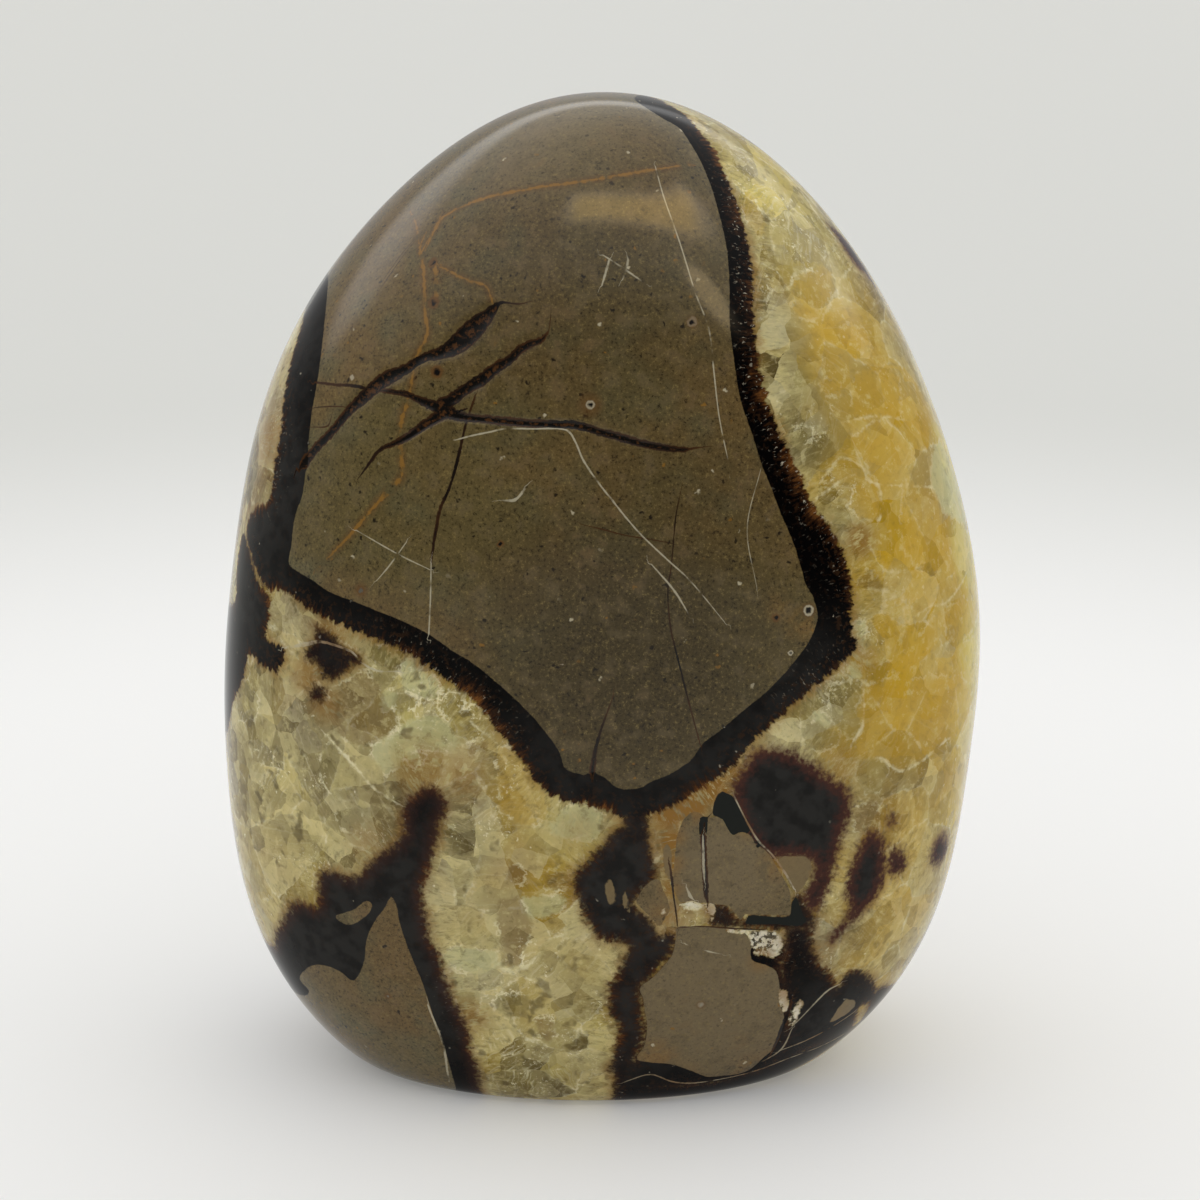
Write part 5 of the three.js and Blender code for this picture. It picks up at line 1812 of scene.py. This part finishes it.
@dataclass(frozen=True)
class NoduleFinish:
    """The whole stone's finish: opaque mudstone and seams, translucent calcite between them."""

    mudstone: MudstoneFinish = MudstoneFinish()
    seam: SeamFinish = SeamFinish()
    calcite: CalciteFinish = CalciteFinish()
    lines: LineFinish = LineFinish()
    sliver: str = "7A6846"
    glass: str = "20221F"
    gloss: float = 0.13
    crystal_shine: float = 0.26
    stone_shine: float = 0.24
    seam_shine: float = 0.06
    wobble: float = 0.22
    clearness: float = 0.5
    honey_light: tuple[float, float, float] = (1.0, 0.7, 0.3)
    light_reach: float = 0.0025
    bending: float = 1.5

    def make(self, books: dict[LineKind, LineBook]) -> bpy.types.Material:
        """Builds the material.

        Args:
            books: The drawn lines of each kind.

        Returns:
            The material.
        """
        material = bpy.data.materials.new("polished septarian")
        board = Board.fresh(material)
        here = board.spot("Object").scaled(1.0 / MILLIMETRE)
        seam, along, soft = (board.reading(name) for name in ("seam", "along", "soft"))
        weather = Weather.over(board, here, seam, along)
        names = {kind: book.names() for kind, book in books.items()}
        wobble = weather.rough * self.wobble
        in_mud = (board.reading("mud") + wobble).rise(-0.06, 0.06)
        in_sliver = (board.reading("sliver") + wobble * 2.0).rise(-0.1, 0.08)
        in_glass = (board.reading("glass") + wobble * 0.6).rise(-0.06, 0.05)
        teeth = board.cloud(board.joined(along, seam * 0.2), 1.1, 2.0)
        spiky = seam + (teeth - 0.5) * 2.0 + weather.fibre - 0.5 + weather.rough * 1.2
        fuzzy = (seam + weather.rough * 3.2).rise(-1.0, 0.9)
        chalky = (board.reading(Grain.CHALK) + weather.rough * 1.2).rise(-0.2, 0.1)
        in_seam = (spiky.rise(-0.2, 0.3) * (1.0 - soft) + fuzzy * soft) * (1.0 - chalky)
        in_seam = in_seam.at_least(in_glass)

        crack = self.lines.edge(board, weather, names[LineKind.CRACK])
        rusty = self.lines.rusty(board, weather, crack)
        cracked = crack.rise(-0.04, 0.05)
        scratch = self.lines.edge(board, weather, names[LineKind.SCRATCH])
        scratched = scratch.rise(-0.05, 0.04) * weather.worn.rise(0.34, 0.52) * 0.75
        dirty = board.level(Zone.RUSTY)
        scored = board.blended(self.lines.scratch, self.lines.dirt, dirty)

        def marked(paint: Tint) -> Tint:
            """What lies over every kind of ground."""
            return paint.toward(rusty, cracked).toward(scored, scratched)

        honey = self.calcite.colour(board, weather, seam, names[LineKind.HEALED])
        ink = self.seam.colour(board, weather, seam, along, soft).toward(self.glass, in_glass)
        ground = self.mudstone.colour(board, weather)
        iron = self.lines.edge(board, weather, names[LineKind.IRON])
        ground = self.lines.pitted(board, weather, self.lines.veined(weather, iron, ground))
        ground = ground.toward(self.sliver, in_sliver * 0.7)
        crystal = self._polished(board, marked(honey), self.crystal_shine, {
            "Subsurface Weight": self.clearness,
            "Subsurface Radius": self.honey_light,
            "Subsurface Scale": self.light_reach,
        })
        dark = self._polished(board, marked(ink), self.seam_shine, {})
        stone = self._polished(board, marked(ground), self.stone_shine, {})
        seamed = board.node("ShaderNodeMixShader", sockets={0: in_seam, 1: crystal, 2: dark})
        in_stone = in_mud.at_least(in_sliver) * (1.0 - in_glass)
        whole = board.node("ShaderNodeMixShader", sockets={0: in_stone, 1: seamed.outputs[0], 2: stone})
        board.node("ShaderNodeOutputMaterial", sockets={"Surface": whole.outputs[0]})
        return material

    def _polished(
        self, board: Board, paint: Tint, shine: float, sockets: dict[str | int, Value]
    ) -> bpy.types.NodeSocket:
        """One polished surface."""
        common = {
            "Base Color": paint,
            "Roughness": self.gloss,
            "IOR": self.bending,
            "Specular IOR Level": shine,
        }
        return board.node("ShaderNodeBsdfPrincipled", sockets={**common, **sockets}).outputs[0]


# ---- the nodule ------------------------------------------------------------------------------


class Sheet(NamedTuple):
    """Where half the skin lies on its map: size of a millimetre, middle, and -1 if turned round."""

    scale: float
    right: float
    up: float
    turned: float


FACE_SHEET = Sheet(0.0062, 0.315, 0.4, 1.0)
BACK_SHEET = Sheet(0.0034, 0.815, 0.3, -1.0)
SHEET_EDGE_DEGREES = 97.0


@dataclass(frozen=True)
class Nodule:
    """The stone itself: one skin with its markings and its finish."""

    rule: SkinRule = SkinRule()
    block: SkinBlock = SkinBlock()
    camera: Camera = Camera()
    finish: NoduleFinish = NoduleFinish()
    halo_reach: float = 9.0
    grain_reach: float = 1.5
    groove: float = 0.22
    hairline: float = 0.25
    widening: float = 0.3
    wall: float = 0.45
    lip: float = 0.3

    def build(self) -> bpy.types.Object:
        """Grows the skin, draws on it and dresses it."""
        blank = bpy.data.materials.new("blank")
        piece = SkinTree(self.rule, self.block).grow("septarian_stone", blank)
        skin = Skin(piece, self.camera)
        log.info("skin: %d points", len(skin.points))
        books = self._draw(skin)
        self._unwrap(skin)
        self._groove(skin, books[LineKind.CRACK])
        material = self.finish.make(books)
        piece.data.materials.clear()
        piece.data.materials.append(material)
        bpy.data.materials.remove(blank)
        return piece

    def _draw(self, skin: Skin) -> dict[LineKind, LineBook]:
        """Puts every marking on the mesh as an attribute."""
        mud = Region(skin, self.halo_reach, MUDSTONE)
        for route in POCKETS:
            mud.cut(facet(*route))
        seam = Region(skin, self.halo_reach, SEAMS)
        soft = np.zeros(len(skin.points))
        for level, traces in SOFT_SEAMS:
            harder = seam.depth.copy()
            for trace in traces:
                seam.add(trace)
            soft[seam.depth > harder] = level
        gap, look = self._pitted(skin)
        fields = {
            "mud": mud.depth,
            "sliver": Region(skin, self.grain_reach, SLIVERS).depth,
            "glass": Region(skin, self.grain_reach, GLASSES).depth,
            "seam": seam.depth,
            "along": seam.along,
            "soft": soft,
            "pit": gap,
            "pit_look": look,
        }
        for zone, glows in GLOWS.items():
            fields[zone.value] = self._lit(skin, glows)
        for grain, routes in GRAINS.items():
            traces = [facet(*route) for route in routes]
            fields[grain.value] = Region(skin, self.grain_reach, traces).depth
        books = {kind: LineBook(skin, kind) for kind in LineKind}
        for kind, book in books.items():
            for marks in LINES[kind]:
                book.add(marks)
            fields.update(zip(book.names(), book.fields))
            log.info("%s lines: %d layers", kind.value, len(book.fields))
        for name, field in fields.items():
            self._keep(skin, name, field)
        return books

    def _groove(self, skin: Skin, book: LineBook) -> None:
        """Sinks the wide cracks a little into the stone."""
        depth = np.zeros(len(skin.points))
        for across, width, _ in (field.T for field in book.fields):
            wide = np.clip((width - self.hairline) / self.widening, 0.0, 1.0)
            within = np.clip((width - np.abs(across)) / self.wall + self.lip, 0.0, 1.0)
            depth = np.maximum(depth, wide * within**2 * (3.0 - 2.0 * within))
        sunk = skin.points - skin.ways * (depth * self.groove)[:, None]
        skin.piece.data.vertices.foreach_set("co", (sunk * MILLIMETRE).ravel())
        skin.piece.data.update()

    @staticmethod
    def _pitted(skin: Skin) -> tuple[np.ndarray, np.ndarray]:
        """Each point's distance from the nearest pit in that pit's radii, and the pit's looks."""
        nearest = np.full(len(skin.points), NO_PIT)
        look = np.tile((0.0, 0.0, 1.5), (len(skin.points), 1))
        for pit in PITS:
            gap = skin.gap(pit.spot) / pit.radius
            close = gap < nearest
            nearest[close] = gap[close]
            look[close] = (pit.heart, pit.rim, pit.stain)
        return nearest, look

    @staticmethod
    def _lit(skin: Skin, glows: Sequence[Glow]) -> np.ndarray:
        """The strongest of some soft patches at each point."""
        level = np.zeros(len(skin.points))
        for glow in glows:
            gap = skin.gap(glow.spot) / glow.reach
            level = np.maximum(level, glow.strength * np.clip(1.0 - gap**2, 0.0, 1.0) ** 1.5)
        return level

    @staticmethod
    def _keep(skin: Skin, name: str, values: np.ndarray) -> None:
        """Stores numbers or vectors on the mesh's points."""
        mesh = skin.piece.data
        if values.ndim == 1:
            held = mesh.attributes.new(name, "FLOAT", "POINT")
            held.data.foreach_set("value", values.astype(np.float32))
        else:
            held = mesh.attributes.new(name, "FLOAT_VECTOR", "POINT")
            held.data.foreach_set("vector", values.astype(np.float32).ravel())

    @staticmethod
    def _unwrap(skin: Skin) -> None:
        """Lays the face and the back flat, side by side, on a map of their own."""
        mesh = skin.piece.data
        angle = np.arctan2(skin.ways[:, 0], skin.ways[:, 2])
        tilt = np.arccos(np.clip(-skin.ways[:, 1], -1.0, 1.0))
        outline = np.zeros(len(angle))
        for order, (swing, turn) in enumerate(SkinRule().harmonics()):
            outline += swing * np.cos(order * angle - turn)
        layouts = []
        for sheet, lean in ((FACE_SHEET, tilt), (BACK_SHEET, math.pi - tilt)):
            reach = outline * lean / math.radians(SHEET_EDGE_DEGREES) * sheet.scale
            across = sheet.right + sheet.turned * reach * np.sin(angle)
            layouts.append(np.stack([across, sheet.up + reach * np.cos(angle)], 1))
        corners = np.empty(len(mesh.loops), dtype=np.int64)
        mesh.loops.foreach_get("vertex_index", corners)
        totals = np.empty(len(mesh.polygons), dtype=np.int64)
        mesh.polygons.foreach_get("loop_total", totals)
        face_of = np.repeat(np.arange(len(totals)), totals)
        through = np.bincount(face_of, weights=skin.ways[corners, 1]) / totals
        front = (through < 0.0)[face_of]
        flat = np.where(front[:, None], layouts[0][corners], layouts[1][corners])
        laid = mesh.uv_layers.new(name="OFBake")
        laid.data.foreach_set("uv", flat.astype(np.float32).ravel())


# ---- the studio ------------------------------------------------------------------------------


@dataclass(frozen=True)
class Studio:
    """Floor, lights and camera."""

    camera: Camera = Camera()
    floor_half: float = 3.0
    ceiling: float = 1.36
    walls: float = 0.5
    front_shade: float = 0.75
    front_way: tuple[float, float, float] = (0.0, -1.0, 0.0)
    paper: str = "D2D2D1"
    paper_shade: str = "AEAFAB"
    paper_near: float = 0.16
    paper_far: float = 0.42
    paper_roughness: float = 0.8
    paper_light: tuple[float, float, float, float] = (1.0, 1.0, 0.98, 1.0)
    paper_glow: float = 0.19
    window_way: tuple[float, float, float] = (0.020, 0.161, 0.987)
    window_rise: float = 0.776
    window_light: float = 7.0
    window_tint: str = "FFDFA4"
    pane_way: tuple[float, float, float] = (0.537, -0.600, 0.593)
    backlight: float = 1.3

    def build(self) -> None:
        """Sets everything up round the stone."""
        self._floor()
        self._air()
        self._camera()
        bpy.context.scene.view_settings.view_transform = "Standard"

    def _air(self) -> None:
        """Soft light from a bright ceiling and pale walls, with a shaded side at the camera."""
        world = bpy.data.worlds.new("studio air")
        board = Board.fresh(world)
        way = board.spot("Generated")
        up = way.parts()[2]
        light = self.walls + (self.ceiling - self.walls) * up.rise(0.3, 0.75)
        ahead = way.dot(self.front_way).rise(0.2, 0.7) * up.fall(0.35, 0.7)
        shade = 1.0 - ahead * self.front_shade
        window, strip = self._glints(board, way)
        air = board.node(
            "ShaderNodeBackground",
            sockets={
                "Color": board.blended("FFFFFF", self.window_tint, window),
                "Strength": light * shade + window * self.window_light + strip * self.backlight,
            },
        )
        board.node("ShaderNodeOutputWorld", sockets={"Surface": air.outputs[0]})
        bpy.context.scene.world = world
        cycles = getattr(world, "cycles", None)
        if cycles is not None:
            cycles.sampling_method = "NONE"

    def _glints(self, board: Board, way: Place) -> tuple[Reading, Reading]:
        """A window in front and a low strip behind, which only the polish picks up."""
        glossy = Reading(board, board.node("ShaderNodeLightPath").outputs["Is Glossy Ray"])
        across, back, up = way.parts()
        window = abs(way.dot(self.window_way) - self.window_rise).fall(0.04, 0.09)
        window = window * across.rise(-0.26, -0.14) * across.fall(0.56, 0.72) * back.fall(-0.05, 0.1)
        pane = way.dot(self.pane_way).rise(0.992, 0.997)
        strip = up.rise(0.34, 0.42) * up.fall(0.48, 0.56) * back.rise(0.25, 0.45)
        return window.at_least(pane * 0.8) * glossy, strip * glossy

    def _floor(self) -> None:
        """A pale paper floor that darkens a little away from the stone."""
        mesh = bpy.data.meshes.new("paper floor")
        half = self.floor_half
        corners = [(-half, -half, 0.0), (half, -half, 0.0), (half, half, 0.0), (-half, half, 0.0)]
        mesh.from_pydata(corners, [], [(0, 1, 2, 3)])
        floor = bpy.data.objects.new("paper_floor", mesh)
        bpy.context.scene.collection.objects.link(floor)
        material = bpy.data.materials.new("pale paper")
        board = Board.fresh(material)
        away = board.spot("Object").length().rise(self.paper_near, self.paper_far)
        cloth = board.node(
            "ShaderNodeBsdfPrincipled",
            sockets={
                "Base Color": board.blended(self.paper, self.paper_shade, away),
                "Roughness": self.paper_roughness,
                "Emission Color": self.paper_light,
                "Emission Strength": self.paper_glow,
            },
        )
        board.node("ShaderNodeOutputMaterial", sockets={"Surface": cloth.outputs[0]})
        mesh.materials.append(material)

    def _camera(self) -> None:
        """The camera of the face drawing."""
        view = self.camera
        lens = bpy.data.cameras.new("face camera")
        lens.lens = view.lens
        lens.sensor_width = view.sensor
        holder = bpy.data.objects.new("face camera", lens)
        holder.location = view.eye() * MILLIMETRE
        aim = view.target() - view.eye()
        holder.rotation_euler = aim.to_track_quat("-Z", "Y").to_euler()
        bpy.context.scene.collection.objects.link(holder)
        bpy.context.scene.camera = holder


def main() -> None:
    """Builds the stone and its studio, and reports them."""
    logging.basicConfig(level=logging.INFO, format="%(message)s")
    stone = Nodule().build()
    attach(stone, "root")
    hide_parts("septarian_nodule")
    faces = sum(len(face.vertices) - 2 for face in stone.data.polygons)
    log.info("%s: %d triangles", stone.name, faces)
    Studio().build()


if __name__ == "__main__":
    main()
